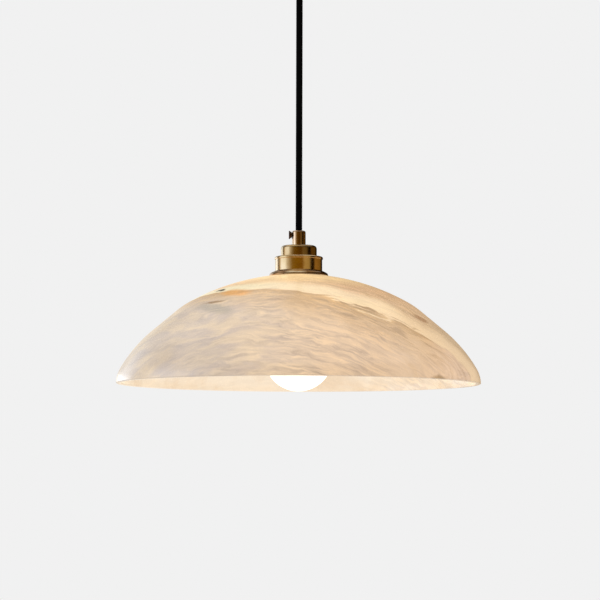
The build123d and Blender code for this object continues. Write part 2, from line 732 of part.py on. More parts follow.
cup_screw_seat = rose_diameter / 2 + face_gap
cup_screw_length = cup_screw_seat - ear_x + strap_thickness
with BuildPart() as cup_screws:
    for side in (-1, 1):
        add(thumb_screw(Plane((side * cup_screw_seat, 0, -ear_hole_drop), x_dir=(0, 1, 0),
                              z_dir=(side, 0, 0)), cup_screw_length).part)
keep(cup_screws, "cup_screws")

strip_length = (way_count - 1) * way_pitch + 2 * strip_end
strip_depth = way_sleeve_length + 2 * strip_lap
with BuildPart() as terminal_strip:
    with Locations((0, 0, -strap_thickness)):
        Box(strip_length, strip_depth, strip_height, align=below)
    fillet(terminal_strip.edges().filter_by(Axis.Z), radius=strip_edge_round)
    with Locations((0, 0, z_way)):
        with GridLocations(way_pitch, 0, way_count, 1):
            with Locations(Location((0, 0, 0), across)):
                Cylinder(way_sleeve_diameter / 2 + face_gap, strip_depth, mode=Mode.SUBTRACT)
        with GridLocations(way_pitch, way_screw_spacing, way_count, 2):
            Cylinder(way_screw_diameter / 2 + face_gap, strip_height, align=below, mode=Mode.SUBTRACT)
        with GridLocations(2 * fixing_x, 0, 2, 1):
            Cylinder(fixing_diameter / 2 + face_gap, 2 * strip_height, mode=Mode.SUBTRACT)
    with Locations((0, 0, z_strip_base)):
        with GridLocations(2 * fixing_x, 0, 2, 1):
            Cylinder(fixing_head_diameter / 2 + face_gap, fixing_head_height, align=above, mode=Mode.SUBTRACT)
keep(terminal_strip, "terminal_strip")

with BuildPart() as way_sleeves:
    with Locations((0, 0, z_way)):
        with GridLocations(way_pitch, 0, way_count, 1):
            with Locations(Location((0, 0, 0), across)):
                Cylinder(way_sleeve_diameter / 2, way_sleeve_length)
                Cylinder(way_sleeve_bore / 2, way_sleeve_length, mode=Mode.SUBTRACT)
        with GridLocations(way_pitch, way_screw_spacing, way_count, 2):
            Cylinder(way_screw_diameter / 2 + thread_gap, way_sleeve_diameter, align=below,
                     mode=Mode.SUBTRACT)
keep(way_sleeves, "way_sleeves")

z_way_screw = z_strip_base + way_screw_sunk
z_way_tip = z_way - core_r - face_gap
with BuildPart() as way_screws:
    with Locations((0, 0, z_way_screw)):
        with GridLocations(way_pitch, way_screw_spacing, way_count, 2):
            Cylinder(way_screw_diameter / 2, z_way_tip - z_way_screw, align=above)
            Box(2 * way_screw_diameter, head_slot_width / 2, head_slot_width, align=above, mode=Mode.SUBTRACT)
keep(way_screws, "way_screws")

with BuildPart() as strip_fixings:
    with Locations((0, 0, z_strip_base)):
        with GridLocations(2 * fixing_x, 0, 2, 1):
            Cylinder(fixing_diameter / 2, strip_height + strap_thickness - slip_gap, align=above)
            Cylinder(fixing_head_diameter / 2, fixing_head_height, align=above)
            Box(2 * fixing_head_diameter, head_slot_width / 2, head_slot_width, align=above,
                mode=Mode.SUBTRACT)
keep(strip_fixings, "strip_fixings")

# The lug lies under the strap, with its crimped barrel pointing to +Y.
z_lug_base = -strap_thickness - lug_thickness
lug_r = earth_head_diameter / 2
z_barrel = -strap_thickness - lug_barrel_diameter / 2
with BuildPart() as earth_lug:
    with Locations((-earth_offset, 0, -strap_thickness)):
        Cylinder(lug_r, lug_thickness, align=below)
        Box(lug_barrel_diameter, lug_r + lug_barrel_length, lug_thickness,
            align=(Align.CENTER, Align.MIN, Align.MAX))
    with Locations(Location((-earth_offset, lug_r, z_barrel), (-90, 0, 0))):
        Cylinder(lug_barrel_diameter / 2, lug_barrel_length, align=above)
        Cylinder(core_r + thread_gap, lug_barrel_length, align=above, mode=Mode.SUBTRACT)
    with Locations((-earth_offset, 0, 0)):
        Cylinder(earth_screw_diameter / 2 + thread_gap, strip_height, mode=Mode.SUBTRACT)
keep(earth_lug, "earth_lug")

with BuildPart() as earth_screw:
    with Locations((-earth_offset, 0, z_lug_base)):
        Cylinder(earth_head_diameter / 2, earth_head_height, align=below)
        Cylinder(earth_screw_diameter / 2, strap_thickness + lug_thickness - slip_gap, align=above)
    with Locations((-earth_offset, 0, z_lug_base - earth_head_height)):
        Box(2 * earth_head_diameter, head_slot_width, head_slot_width, align=above, mode=Mode.SUBTRACT)
keep(earth_screw, "earth_screw")

# The cores rise out of the cord, spread towards -Y and turn back into their ways.
core_rise = 3 * core_diameter
core_bend = 1.6 * core_diameter
way_side = strip_depth / 2 + 4 * core_diameter
way_stop = way_sleeve_length / 2 - way_screw_spacing
starts = {"rose_earth_core": (-core_spread, 0), "rose_neutral_core": (0, -core_spread),
          "rose_live_core": (core_spread, 0)}
for way, (label, (start_x, start_y)) in enumerate(starts.items()):
    way_x = (way - (way_count - 1) / 2) * way_pitch
    keep(core([(start_x, start_y, z_tail_top), (start_x, start_y, z_tail_top + core_rise),
               (way_x, -way_side, z_strip_base - core_rise / 2), (way_x, -way_side, z_way),
               (way_x, way_stop, z_way)], [core_bend] * 3), label)

earth_way_x = -(way_count - 1) / 2 * way_pitch
link_side = strip_depth / 2 + 3 * core_diameter
link_start = (way_sleeve_length - way_screw_spacing) / 2
keep(core([(earth_way_x, link_start, z_way), (earth_way_x, link_side, z_way),
           ((earth_way_x - earth_offset) / 2, link_side + 2 * core_diameter, (z_way + z_barrel) / 2),
           (-earth_offset, link_side, z_barrel), (-earth_offset, lug_r + core_r, z_barrel)],
          [core_bend] * 3), "earth_link")
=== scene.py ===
import json
import math

import bpy
import numpy as np
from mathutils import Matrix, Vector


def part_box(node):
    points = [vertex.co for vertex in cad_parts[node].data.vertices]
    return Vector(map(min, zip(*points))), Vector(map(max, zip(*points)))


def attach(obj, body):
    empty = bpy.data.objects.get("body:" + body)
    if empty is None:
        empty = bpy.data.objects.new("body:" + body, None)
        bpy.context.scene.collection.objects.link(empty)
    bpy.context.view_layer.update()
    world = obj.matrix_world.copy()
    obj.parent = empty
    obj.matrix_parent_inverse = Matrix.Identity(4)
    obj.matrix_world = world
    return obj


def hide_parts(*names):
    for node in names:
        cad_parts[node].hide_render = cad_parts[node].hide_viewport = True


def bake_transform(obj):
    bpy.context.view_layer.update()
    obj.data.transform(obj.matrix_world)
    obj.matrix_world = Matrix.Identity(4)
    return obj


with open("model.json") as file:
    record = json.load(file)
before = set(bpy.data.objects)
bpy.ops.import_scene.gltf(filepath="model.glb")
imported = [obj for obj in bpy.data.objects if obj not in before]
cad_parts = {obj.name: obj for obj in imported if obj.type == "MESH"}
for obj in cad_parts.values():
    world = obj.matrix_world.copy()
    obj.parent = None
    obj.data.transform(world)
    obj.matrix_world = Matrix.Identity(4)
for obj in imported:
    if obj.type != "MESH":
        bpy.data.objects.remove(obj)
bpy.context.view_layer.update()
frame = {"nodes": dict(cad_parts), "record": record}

mm = 0.001
print("frame loaded:", len(frame["nodes"]), "nodes")


def top(node):
    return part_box(node)[1][2]


def base(node):
    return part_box(node)[0][2]


def outerRadius(node):
    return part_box(node)[1][0]


# Camera: below the shade's rim and pitched up, as the photograph was taken.
view = {"distance": 2.0, "sideways": 1.7 * mm, "height": -517.2 * mm, "pitch": 4.866, "roll": -0.15,
        "field": 16.43}
lens = bpy.data.cameras.new("photoCamera")
lens.sensor_fit = "HORIZONTAL"
lens.angle = math.radians(view["field"])
camera = bpy.data.objects.new("photoCamera", lens)
camera.location = (view["sideways"], -view["distance"], view["height"])
camera.rotation_euler = (math.radians(90 + view["pitch"]), math.radians(view["roll"]), 0)
bpy.context.collection.objects.link(camera)
bpy.context.scene.camera = camera
bpy.context.scene.view_settings.view_transform = "Standard"
print("camera placed")


# Shader helpers
def linear(code):
    # sRGB hex to linear light, with full alpha
    channels = np.array([int(code[i:i + 2], 16) for i in (1, 3, 5)]) / 255
    light = np.where(channels <= 0.04045, channels / 12.92, ((channels + 0.055) / 1.055) ** 2.4)
    return (*light.tolist(), 1.0)


def toLight(tone):
    # a hex code, a grey level or linear light itself, as linear light
    if isinstance(tone, str):
        return linear(tone)
    return tone if isinstance(tone, tuple) else (tone, tone, tone, 1.0)


def feed(tree, node, inputs):
    # inputs are values, sockets, or nodes whose output in use is meant
    for name, value in inputs.items():
        if isinstance(value, bpy.types.Node):
            value = next(output for output in value.outputs if output.enabled)
        if isinstance(value, bpy.types.NodeSocket):
            tree.links.new(value, node.inputs[name])
        else:
            node.inputs[name].default_value = value


def addNode(tree, kind, inputs=None, settings=None, stops=(), span=(0.0, 1.0)):
    # settings are the node's own properties, and stops are a colour ramp's rows of place and tone, whose
    # places are counted over the span
    node = tree.nodes.new("ShaderNode" + kind)
    for name, value in (settings or {}).items():
        setattr(node, name, value)
    feed(tree, node, inputs or {})
    for index, (place, tone) in enumerate(stops):
        share = (place - span[0]) / (span[1] - span[0])
        ramp = node.color_ramp.elements
        stop = ramp[index] if index < 2 else ramp.new(share)
        stop.position, stop.color = share, toLight(tone)
    return node


# settings that many nodes share
multiply = {"operation": "MULTIPLY"}
multiplyAdd = {"operation": "MULTIPLY_ADD"}
add = {"operation": "ADD"}
subtract = {"operation": "SUBTRACT"}
divide = {"operation": "DIVIDE"}
greater = {"operation": "MAXIMUM"}
length = {"operation": "LENGTH"}
scale = {"operation": "SCALE"}
laidOver = {"data_type": "RGBA"}
tinting = {"data_type": "RGBA", "blend_type": "MULTIPLY"}
smoothly = {"interpolation_type": "SMOOTHSTEP"}


def newMaterial(name):
    # an empty surface: its tree and its shader
    material = bpy.data.materials.new(name)
    material.use_nodes = True
    tree = material.node_tree
    return material, tree, tree.nodes["Principled BSDF"]


def objectMillimetres(tree):
    # Object coordinates counted in millimetres, so that pattern sizes are real ones
    place = addNode(tree, "TexCoord").outputs["Object"]
    return addNode(tree, "VectorMath", {0: place, "Scale": 1 / mm}, scale)


# Turned brass, satin and lacquered: warm gold that mirrors the room in soft upright bands, with faint rings
# from the lathe and darker clouds where the lacquer has aged. Lengths are in millimetres, and the rings are
# drawn coarser than real ones, so that they show.
brass = {"ringWidth": 0.45, "ringDepth": 0.04, "ringStrength": 0.03, "cloudSize": 12.0, "agedAt": 0.34,
         "paleAt": 0.58, "satin": {"From Min": 0.3, "From Max": 0.7}, "wear": 0.06, "coat": 0.25,
         "coatRoughness": 0.12}


def brassTurned(name, pale="#d3b486", aged="#c4a26d", roughness=0.18, turned=()):
    material, tree, shader = newMaterial(name)
    place = objectMillimetres(tree)
    x, y, z = addNode(tree, "SeparateXYZ", {0: place}).outputs
    across = addNode(tree, "CombineXYZ", {"X": x, "Y": y})
    radius = addNode(tree, "VectorMath", {0: across}, length)
    rings = addNode(tree, "CombineXYZ", {"X": radius, "Z": z})
    ringMarks = addNode(tree, "TexNoise", {"Vector": rings, "Scale": 1 / brass["ringWidth"], "Detail": 3.0})
    clouds = addNode(tree, "TexNoise", {"Vector": place, "Scale": 1 / brass["cloudSize"], "Detail": 2.0})
    tones = [(brass["agedAt"], aged), (brass["paleAt"], pale)]
    tone = addNode(tree, "ValToRGB", {"Fac": clouds}, stops=tones)
    if turned:
        # painted light and shade: the tone also goes by the side that a place is on, from -1 at the left to 1
        # at the right, lighter where light falls and darker away from it, with a painted glint where a ramp
        # gives one
        side = addNode(tree, "Math", {0: x, 1: radius}, divide)
        sideShare = addNode(tree, "MapRange", {"Value": side, "From Min": -1.0})
        paintedSideLight = addNode(tree, "ValToRGB", {"Fac": sideShare}, stops=turned, span=(-1, 1))
        tone = addNode(tree, "Mix", {"Factor": 1.0, "A": tone, "B": paintedSideLight}, tinting)
    satin = addNode(tree, "MapRange", {"Value": clouds, **brass["satin"], "To Min": roughness + brass["wear"],
                                       "To Max": roughness})
    relief = addNode(tree, "Bump", {"Height": ringMarks, "Strength": brass["ringStrength"],
                                    "Distance": brass["ringDepth"] * mm})
    feed(tree, shader, {"Base Color": tone, "Roughness": satin, "Normal": relief, "Metallic": 1.0,
                        "Coat Weight": brass["coat"], "Coat Roughness": brass["coatRoughness"]})
    return material


# Alabaster, turned and polished: a translucent stone whose cloudy beds are cut open by the dome. One pale bed
# runs over the front from the left shoulder to the right rim, veins tear its edges, wisps follow it, patches
# grey the left, and the bulb glows through. Lengths are in millimetres. What is listed under "across" goes by
# distance to the right of the axis, under "depth" by depth behind the bed's edge, and the crown by radius.
# The sway is counted from swayMiddle, because a ramp holds nothing below 0.
stone = {
    "reach": 175.0, "depthReach": 60.0, "swayMiddle": 10.0, "tear": 38.0,
    "beds": [{"place": (46.0, -105.7), "bow": 0.00162, "flare": 9.8e-8, "facing": 1.0},
             {"place": (-30.0, 118.0), "bow": -0.0024, "flare": 0.0, "facing": -1.0}],
    "bedsJoin": 90.0, "bends": [{"size": 85.0, "depth": 8.0}, {"size": 15.0, "depth": 3.0}],
    "arches": {"centre": -40.0, "bow": 0.0019},
    "veins": {"size": (24.0, 3.0, 40.0), "noise": {"Detail": 3.0, "Distortion": 0.35}},
    "wisps": {"size": (25.0, 3.8, 20.0), "noise": {"Detail": 4.0, "Roughness": 0.58, "Distortion": 0.9},
              "tones": [(0.34, (0.76, 0.75, 0.77, 1)), (0.48, (0.97, 0.97, 0.98, 1)),
                        (0.66, (1.3, 1.25, 1.14, 1))]},
    "patches": {"size": (46.0, 12.0, 40.0), "noise": {"Detail": 5.0, "Distortion": 0.9},
                "tones": [(0.41, "#c6b8ae"), (0.58, "#ead3b2")]},
    "clouds": {"size": (44.0, 44.0, 44.0), "noise": {"Detail": 5.0, "Roughness": 0.62},
               "tones": [(0.34, (0.9, 0.9, 0.92, 1)), (0.66, (1.06, 1.04, 1.0, 1))]},
    # the hollow tones are paler than the outside: painted light of the bulb close by
    "hollow": [(0.36, "#f4dcbe"), (0.54, "#fdebd2")], "underBed": "#d2a972", "veinColour": "#a9855a",
    # the crown is paler and warmer towards the axis: painted light of the bulb shining through
    "crown": [(60, "#ffdba5"), (92, "#efc497"), (150, "#e6c8a2")],
    "across": {
        # the body's tone from left to right is the stone's own clouding and painted light: greyer at the
        # left, where less of the bulb's glow comes through, warmer in the middle
        "body": [(-150, "#d4c6b6"), (-100, "#decab4"), (-70, "#d8c2ac"), (0, "#e8cbab"), (70, "#e3c4a3"),
                 (105, "#e6c8a9"), (135, "#efd0b3"), (165, "#f0d3ba")],
        "cream": [(-60, "#fff0c8"), (-10, "#fee2b6"), (60, "#fbdcac"), (105, "#fbd9ac"), (140, "#fbdbb2"),
                  (165, "#fadbb4")],
        "sway": [(-48, 10), (-24, 4.5), (0, 7), (28, 9.5), (48, 14.5), (78, 11.5), (115, 13.6), (132, 10.5)],
        "under": [(100, 0.85), (126, 0.5), (145, 0.12)],
        "veins": [(-40, 0.05), (10, 0.4), (70, 1.0), (118, 0.85), (145, 0.35)],
        "wisps": [(-140, 0.32), (-90, 0.5), (-55, 0.9), (60, 0.95), (110, 0.55), (150, 0.5)],
        "patches": [(-170, 0.42), (-70, 0.52), (-30, 0.35), (20, 0.0)],
        "hollow": [(-170, 0.15), (60, 0.1), (105, 0.5), (170, 0.6)]},
    "depth": {
        "under": [(-38, 0), (-14, 0.6), (-2, 1)],
        "crown": [(-1.5, 0), (1.5, 1)],
        "cream": [(-2, 0), (2, 1), (13, 1), (26, 0)],
        "veins": [(-38, 0), (-22, 0.5), (-3, 0.75), (0, 0.15), (13, 0.05), (18, 0.5), (32, 0.5), (48, 0.15)],
        "wisps": [(-2, 0.95), (2, 0.35), (13, 0.35), (24, 0.5)]},
    "stains": {  # place, half size, colour, share, and lean in degrees
        "amber": ((-58, -5, -350), (14, 9.5, 40), "#ecab5c", 0.87, 0),
        "fleck": ((-74, 8, -343), (5.5, 4.5, 40), "#2e2210", 0.97, 0),
        "smoke": ((-78, -39, -364), (17, 9, 40), "#b0a492", 0.7, 0),
        "streak": ((-78, -28, -357), (11, 1.9, 40), "#96734a", 0.85, 20),
        "ash": ((-100, -112, -412), (48, 60, 20), "#b5a79c", 0.36, 0),
        "bark": ((113, 31, -369), (8, 5, 20), "#b58a66", 0.8, 0),
        "rust": ((128, -28, -428), (9, 14, 4), "#ab8c68", 0.8, 0)},
    # the edge rows darken the rounded edge of the rim: painted shade
    "edge": [(0.01, 1.0), (0.08, 0.88), (0.22, 0.88), (0.4, 1.0)], "hollowGlow": 0.56, "grain": 1.6,
    "ranges": {
        "behind": {"From Max": 50.0},
        "front": {"From Min": -12.0, "From Max": 0.0, "To Min": 1.0, "To Max": 0.0},
        "veined": {"From Min": 0.37, "From Max": 0.53, "To Min": 1.0, "To Max": 0.0},
        "busy": {"From Min": 0.38, "From Max": 0.6, "To Min": 1.15, "To Max": 0.45},
        "blot": {"From Min": 0.5, "From Max": 1.3, "To Max": 0.0},
        "scattered": {"To Min": 0.66, "To Max": 0.45},
        "crownGlow": {"From Min": 35.0, "From Max": 85.0, "To Min": 0.57, "To Max": 0.4},
        "polish": {"To Min": 0.2, "To Max": 0.32}}}


def stoneBeds(tree):
    # every point of the stone after its beds are bent: where it lies across, along and up, its radius, and
    # its depth behind the edge of a bed
    place = objectMillimetres(tree)
    bent = place
    for bend in stone["bends"]:
        noise = addNode(tree, "TexNoise", {"Vector": place, "Scale": 1 / bend["size"], "Detail": 2.0})
        centred = addNode(tree, "VectorMath", {0: noise.outputs["Color"], 1: (0.5, 0.5, 0.5)}, subtract)
        push = addNode(tree, "VectorMath", {0: centred, "Scale": 2 * bend["depth"]}, scale)
        bent = addNode(tree, "VectorMath", {0: bent, 1: push}, add)
    across, along, up = addNode(tree, "SeparateXYZ", {0: bent}).outputs
    # seen from above, a bed's edge lies at place + bow d2 + flare d4, where d is the distance to its side
    depths = []
    for bed in stone["beds"]:
        aside = addNode(tree, "Math", {0: across, 1: bed["place"][0]}, subtract)
        square = addNode(tree, "Math", {0: aside, 1: aside}, multiply)
        rate = addNode(tree, "Math", {0: square, 1: bed["flare"], 2: bed["bow"]}, multiplyAdd)
        edge = addNode(tree, "Math", {0: square, 1: rate, 2: bed["place"][1]}, multiplyAdd)
        gap = addNode(tree, "Math", {0: along, 1: edge}, subtract)
        depths.append(addNode(tree, "Math", {0: gap, 1: bed["facing"]}, multiply))
    joined = {0: depths[0], 1: depths[1], 2: stone["bedsJoin"]}
    depth = addNode(tree, "Math", joined, {"operation": "SMOOTH_MIN"})
    flat = addNode(tree, "CombineXYZ", {"X": across, "Y": along})
    radius = addNode(tree, "VectorMath", {0: flat}, length)
    bedding = addNode(tree, "CombineXYZ", {"X": across, "Y": depth, "Z": up})
    return {"place": place, "bent": bent, "across": across, "along": along, "up": up, "depth": depth,
            "radius": radius, "bedding": bedding}


def stonePatterns(tree, rock):
    # veins are drawn out along the beds, wisps and patches along arches that fall away to both sides, and
    # clouds not at all
    x, y = addNode(tree, "SeparateXYZ", {0: rock["place"]}).outputs[:2]
    aside = addNode(tree, "Math", {0: x, 1: stone["arches"]["centre"]}, subtract)
    square = addNode(tree, "Math", {0: aside, 1: aside}, multiply)
    lift = addNode(tree, "Math", {0: square, 1: stone["arches"]["bow"], 2: rock["up"]}, multiplyAdd)
    arches = addNode(tree, "CombineXYZ", {"X": x, "Y": lift, "Z": y})
    flows = {"veins": rock["bedding"], "wisps": arches, "patches": arches, "clouds": rock["bent"]}
    patterns = {}
    for name, flow in flows.items():
        drawn = addNode(tree, "VectorMath", {0: flow, 1: stone[name]["size"]}, divide)
        patterns[name] = addNode(tree, "TexNoise", {"Vector": drawn, "Scale": 1.0, **stone[name]["noise"]})
    tones = {name: addNode(tree, "ValToRGB", {"Fac": patterns[name]}, stops=stone[name]["tones"])
             for name in ("wisps", "patches", "clouds")}
    return patterns, tones


def stoneTables(tree, value, reach, tables):
    # what each table gives for a value between -reach and reach
    share = addNode(tree, "MapRange", {"Value": value, "From Min": -reach, "From Max": reach})
    return {name: addNode(tree, "ValToRGB", {"Fac": share}, stops=rows, span=(-reach, reach))
            for name, rows in tables.items()}


def stoneStains(tree, rock):
    # single stains on the front, each a soft blot in the bed's own directions
    front = addNode(tree, "MapRange", {"Value": rock["along"], **stone["ranges"]["front"]})
    stains = []
    for place, half, colour, most, lean in stone["stains"].values():
        laid = {"Vector": rock["bedding"], "Location": place, "Scale": half,
                "Rotation": (0, 0, math.radians(lean))}
        shaped = addNode(tree, "Mapping", laid, {"vector_type": "TEXTURE"})
        away = addNode(tree, "VectorMath", {0: shaped}, length)
        blot = addNode(tree, "MapRange", {"Value": away, "To Min": most, **stone["ranges"]["blot"]}, smoothly)
        share = addNode(tree, "Math", {0: blot, 1: front}, multiply)
        stains.append((share, linear(colour), laidOver))
    return stains


def stoneOutside(tree, rock, patterns, tones, byAcross):
    # the veins tear the bed's edges, more so towards the right and behind
    behind = addNode(tree, "MapRange", {"Value": rock["along"], **stone["ranges"]["behind"]})
    veinPlenty = addNode(tree, "Math", {0: byAcross["veins"], 1: behind}, greater)
    veinRise = addNode(tree, "Math", {0: patterns["veins"], 1: 0.5}, subtract)
    pull = addNode(tree, "Math", {0: veinRise, 1: veinPlenty}, multiply)
    swayed = addNode(tree, "Math", {0: rock["depth"], 1: byAcross["sway"]}, add)
    settled = addNode(tree, "Math", {0: swayed, 1: stone["swayMiddle"]}, subtract)
    torn = addNode(tree, "Math", {0: pull, 1: stone["tear"], 2: settled}, multiplyAdd)
    byDepth = stoneTables(tree, torn, stone["depthReach"], stone["depth"])

    # how much there is of each layer, from the body of the stone to the wisps
    radiusShare = addNode(tree, "Math", {0: rock["radius"], 1: stone["reach"]}, divide)
    # painted light: the crown's tone brightens towards the axis
    crown = addNode(tree, "ValToRGB", {"Fac": radiusShare}, stops=stone["crown"], span=(0, stone["reach"]))
    under = addNode(tree, "Math", {0: byDepth["under"], 1: byAcross["under"]}, multiply)
    veined = addNode(tree, "MapRange", {"Value": patterns["veins"], **stone["ranges"]["veined"]}, smoothly)
    veinShare = addNode(tree, "Math", {0: byDepth["veins"], 1: veinPlenty}, multiply)
    veins = addNode(tree, "Math", {0: veined, 1: veinShare}, multiply)
    wispShare = addNode(tree, "Math", {0: byDepth["wisps"], 1: byAcross["wisps"]}, multiply)
    busy = addNode(tree, "MapRange", {"Value": patterns["clouds"], **stone["ranges"]["busy"]})
    wisps = addNode(tree, "Math", {0: wispShare, 1: busy}, multiply)
    layers = [(1.0, tones["clouds"], tinting), (byAcross["patches"], tones["patches"], laidOver),
              (under, linear(stone["underBed"]), laidOver), (byDepth["crown"], crown, laidOver),
              (byDepth["cream"], byAcross["cream"], laidOver), (veins, linear(stone["veinColour"]), laidOver),
              *stoneStains(tree, rock), (wisps, tones["wisps"], tinting)]
    outside = byAcross["body"]
    for share, tone, way in layers:
        outside = addNode(tree, "Mix", {"Factor": share, "A": outside, "B": tone}, way)
    return outside


def alabasterPolished():
    material, tree, shader = newMaterial("alabaster_polished")
    rock = stoneBeds(tree)
    patterns, tones = stonePatterns(tree, rock)
    byAcross = stoneTables(tree, rock["across"], stone["reach"], stone["across"])
    outside = stoneOutside(tree, rock, patterns, tones, byAcross)

    # the hollow side is paler, painted light of the bulb that shines on it from close by, and the rounded rim
    # edge is darker, painted shade
    inside = addNode(tree, "Attribute", settings={"attribute_name": "inside"}).outputs["Fac"]
    hollow = addNode(tree, "ValToRGB", {"Fac": patterns["clouds"]}, stops=stone["hollow"])
    hollow = addNode(tree, "Mix", {"Factor": byAcross["hollow"], "A": hollow, "B": tones["wisps"]}, tinting)
    colour = addNode(tree, "Mix", {"Factor": inside, "A": outside, "B": hollow}, laidOver)
    # painted shade along the rounded rim edge
    edge = addNode(tree, "ValToRGB", {"Fac": inside}, stops=stone["edge"])
    colour = addNode(tree, "Mix", {"Factor": 1.0, "A": colour, "B": edge}, tinting)

    # part of the tone scatters the room's light, and part is light that comes through the wall
    scattered = addNode(tree, "MapRange", {"Value": inside, **stone["ranges"]["scattered"]})
    lit = addNode(tree, "MapRange", {"Value": rock["radius"], **stone["ranges"]["crownGlow"]}, smoothly)
    glow = addNode(tree, "MapRange", {"Value": inside, "To Min": lit, "To Max": stone["hollowGlow"]})
    grain = addNode(tree, "TexNoise", {"Vector": rock["place"], "Scale": 1 / stone["grain"], "Detail": 2.0})
    polish = addNode(tree, "MapRange", {"Value": grain, **stone["ranges"]["polish"]})
    roomTone, bulbTone = [addNode(tree, "Mix", {"Factor": 1.0, "A": colour, "B": share}, tinting)
                          for share in (scattered, glow)]
    feed(tree, shader, {"Base Color": roomTone, "Emission Color": bulbTone, "Emission Strength": 1.0,
                        "Roughness": polish, "IOR": 1.52})
    return material


# Opal glass, blown and lit from inside: an even white glow under a smooth gloss. Its haze is in millimetres.
opal = {"glass": "#f6f1e8", "haze": 20.0, "warmth": [(0.3, "#fff3e0"), (0.7, "#fffaf2")], "glow": 1.6,
        "roughness": 0.12}


def opalGlassLit():
    material, tree, shader = newMaterial("opal_glass_lit")
    place = objectMillimetres(tree)
    haze = addNode(tree, "TexNoise", {"Vector": place, "Scale": 1 / opal["haze"], "Detail": 2.0})
    warmth = addNode(tree, "ValToRGB", {"Fac": haze}, stops=opal["warmth"])
    feed(tree, shader, {"Base Color": linear(opal["glass"]), "Emission Color": warmth,
                        "Emission Strength": opal["glow"], "Roughness": opal["roughness"]})
    return material


# Braided textile cord in black: yarns that cross over and under, matt with a soft sheen. The fibres are drawn
# coarser than real ones, in millimetres, so that they show.
braid = {"fibre": 0.35, "tones": [(0.3, "#010101"), (0.75, "#050505")], "roughness": 0.85, "sheen": 0.06}


def cordBraid():
    material, tree, shader = newMaterial("textile_braid_black")
    place = objectMillimetres(tree)
    fibres = addNode(tree, "TexNoise", {"Vector": place, "Scale": 1 / braid["fibre"], "Detail": 3.0})
    tone = addNode(tree, "ValToRGB", {"Fac": fibres}, stops=braid["tones"])
    feed(tree, shader, {"Base Color": tone, "Roughness": braid["roughness"],
                        "Specular IOR Level": braid["sheen"]})
    return material


# Plain finishes of the small parts: moulded, pressed or drawn, each with its own grain and speckle, so that
# none looks like bare colour from close by. A row holds the name, the dark and the light tone, the grain in
# millimetres, the roughness and how metallic it is.
plainFinishes = {
    "zinc_steel": ("steel_zinc_plated", "#8f949a", "#b4b9be", 3.0, 0.34, 1.0),  # cool grey, faintly spangled
    "phosphor_bronze": ("bronze_spring_rolled", "#9a6a3c", "#b98550", 2.5, 0.3, 1.0),  # reddish, satin
    "tinned_copper": ("copper_tinned", "#a9a8a2", "#cfcdc6", 1.5, 0.3, 1.0),  # pale metal, a little warm
    "nickel_cap": ("brass_nickel_plated", "#a7a49c", "#cbc8c0", 4.0, 0.24, 1.0),  # a soft warm mirror
    "white_polyamide": ("polyamide_moulded", "#dcd9d0", "#ece9e1", 1.2, 0.5, 0.0),  # milky, satin
    "brown_core": ("pvc_core_brown", "#4c2817", "#63371f", 2.0, 0.45, 0.0),  # waxy brown
    "blue_core": ("pvc_core_blue", "#1f5f9e", "#2f78bd", 2.0, 0.45, 0.0),  # waxy blue
    "green_core": ("pvc_core_green", "#5c8f2a", "#c8c23a", 2.6, 0.45, 0.0),  # green mottled with yellow
    "porcelain": ("porcelain_glazed", "#e6e1d8", "#f3efe7", 5.0, 0.16, 0.0),  # white under a clear gloss
    "silicone": ("silicone_moulded", "#1a1715", "#2b2723", 1.0, 0.6, 0.0),  # dull black
    "black_glass": ("glass_fused_black", "#08080a", "#15151a", 3.0, 0.12, 0.0),  # glossy black
    "clear_glass": ("glass_drawn_pale", "#dfe7e4", "#eef4f1", 6.0, 0.08, 0.0),  # pale and very glossy
    "phosphor": ("phosphor_coated", "#e9bd55", "#f4d37c", 0.8, 0.7, 0.0),  # chalky yellow
    "circuit_board": ("circuit_board_lacquered", "#0f4a27", "#1d6a3a", 2.2, 0.3, 0.0)}  # green, lacquered
plainWear = {"smoother": 0.06, "rougher": 0.08, "darkAt": 0.35, "lightAt": 0.65}


def plainFinish(name, dark, light, grain, roughness, metallic):
    material, tree, shader = newMaterial(name)
    place = objectMillimetres(tree)
    speckle = addNode(tree, "TexNoise", {"Vector": place, "Scale": 1 / grain, "Detail": 4.0})
    tones = [(plainWear["darkAt"], dark), (plainWear["lightAt"], light)]
    tone = addNode(tree, "ValToRGB", {"Fac": speckle}, stops=tones)
    wear = addNode(tree, "MapRange", {"Value": speckle, "To Min": roughness - plainWear["smoother"],
                                      "To Max": roughness + plainWear["rougher"]})
    feed(tree, shader, {"Base Color": tone, "Roughness": wear, "Metallic": metallic})
    return material


finishes = {slot: plainFinish(*row) for slot, row in plainFinishes.items()}
finishes["aged_brass"] = brassTurned("brass_turned_lacquered")
finishes["bright_brass"] = brassTurned("brass_drawn_bright", pale="#dcbd7f", aged="#c39a55", roughness=0.25)
finishes["alabaster"] = alabasterPolished()
finishes["opal_glass"] = opalGlassLit()
finishes["textile_cord"] = cordBraid()
# the lampholder's cap and both cord grips carry painted light and shade round their sides, lighter at the
# left and darker at the right; the collar carries a painted glint at its front and painted shade at its
# sides; the thumb screws are darkened, painted shade
# painted light and shade: whitest at the left, darker from the middle to the right
capBrass = brassTurned("brass_cap_painted_side_light", pale="#d2b888", aged="#c0a26c",
                       turned=[(-1, "#ffffff"), (-0.9, "#fffefc"), (-0.74, "#eee0d2"), (-0.25, "#dcd4c8"),
                               (0, "#bdb0a0"), (0.35, "#a59a8c"), (1, "#a59a8c")])
# painted light and shade: white at the left, darker from the middle to the right
gripBrass = brassTurned("brass_grip_painted_side_light", pale="#debd93", aged="#cea67a",
                        turned=[(-1, "#ffffff"), (-0.6, "#ffffff"), (-0.25, "#c0b8b0"), (0, "#9a9088"),
                                (0.35, "#948e84"), (1, "#948e84")])
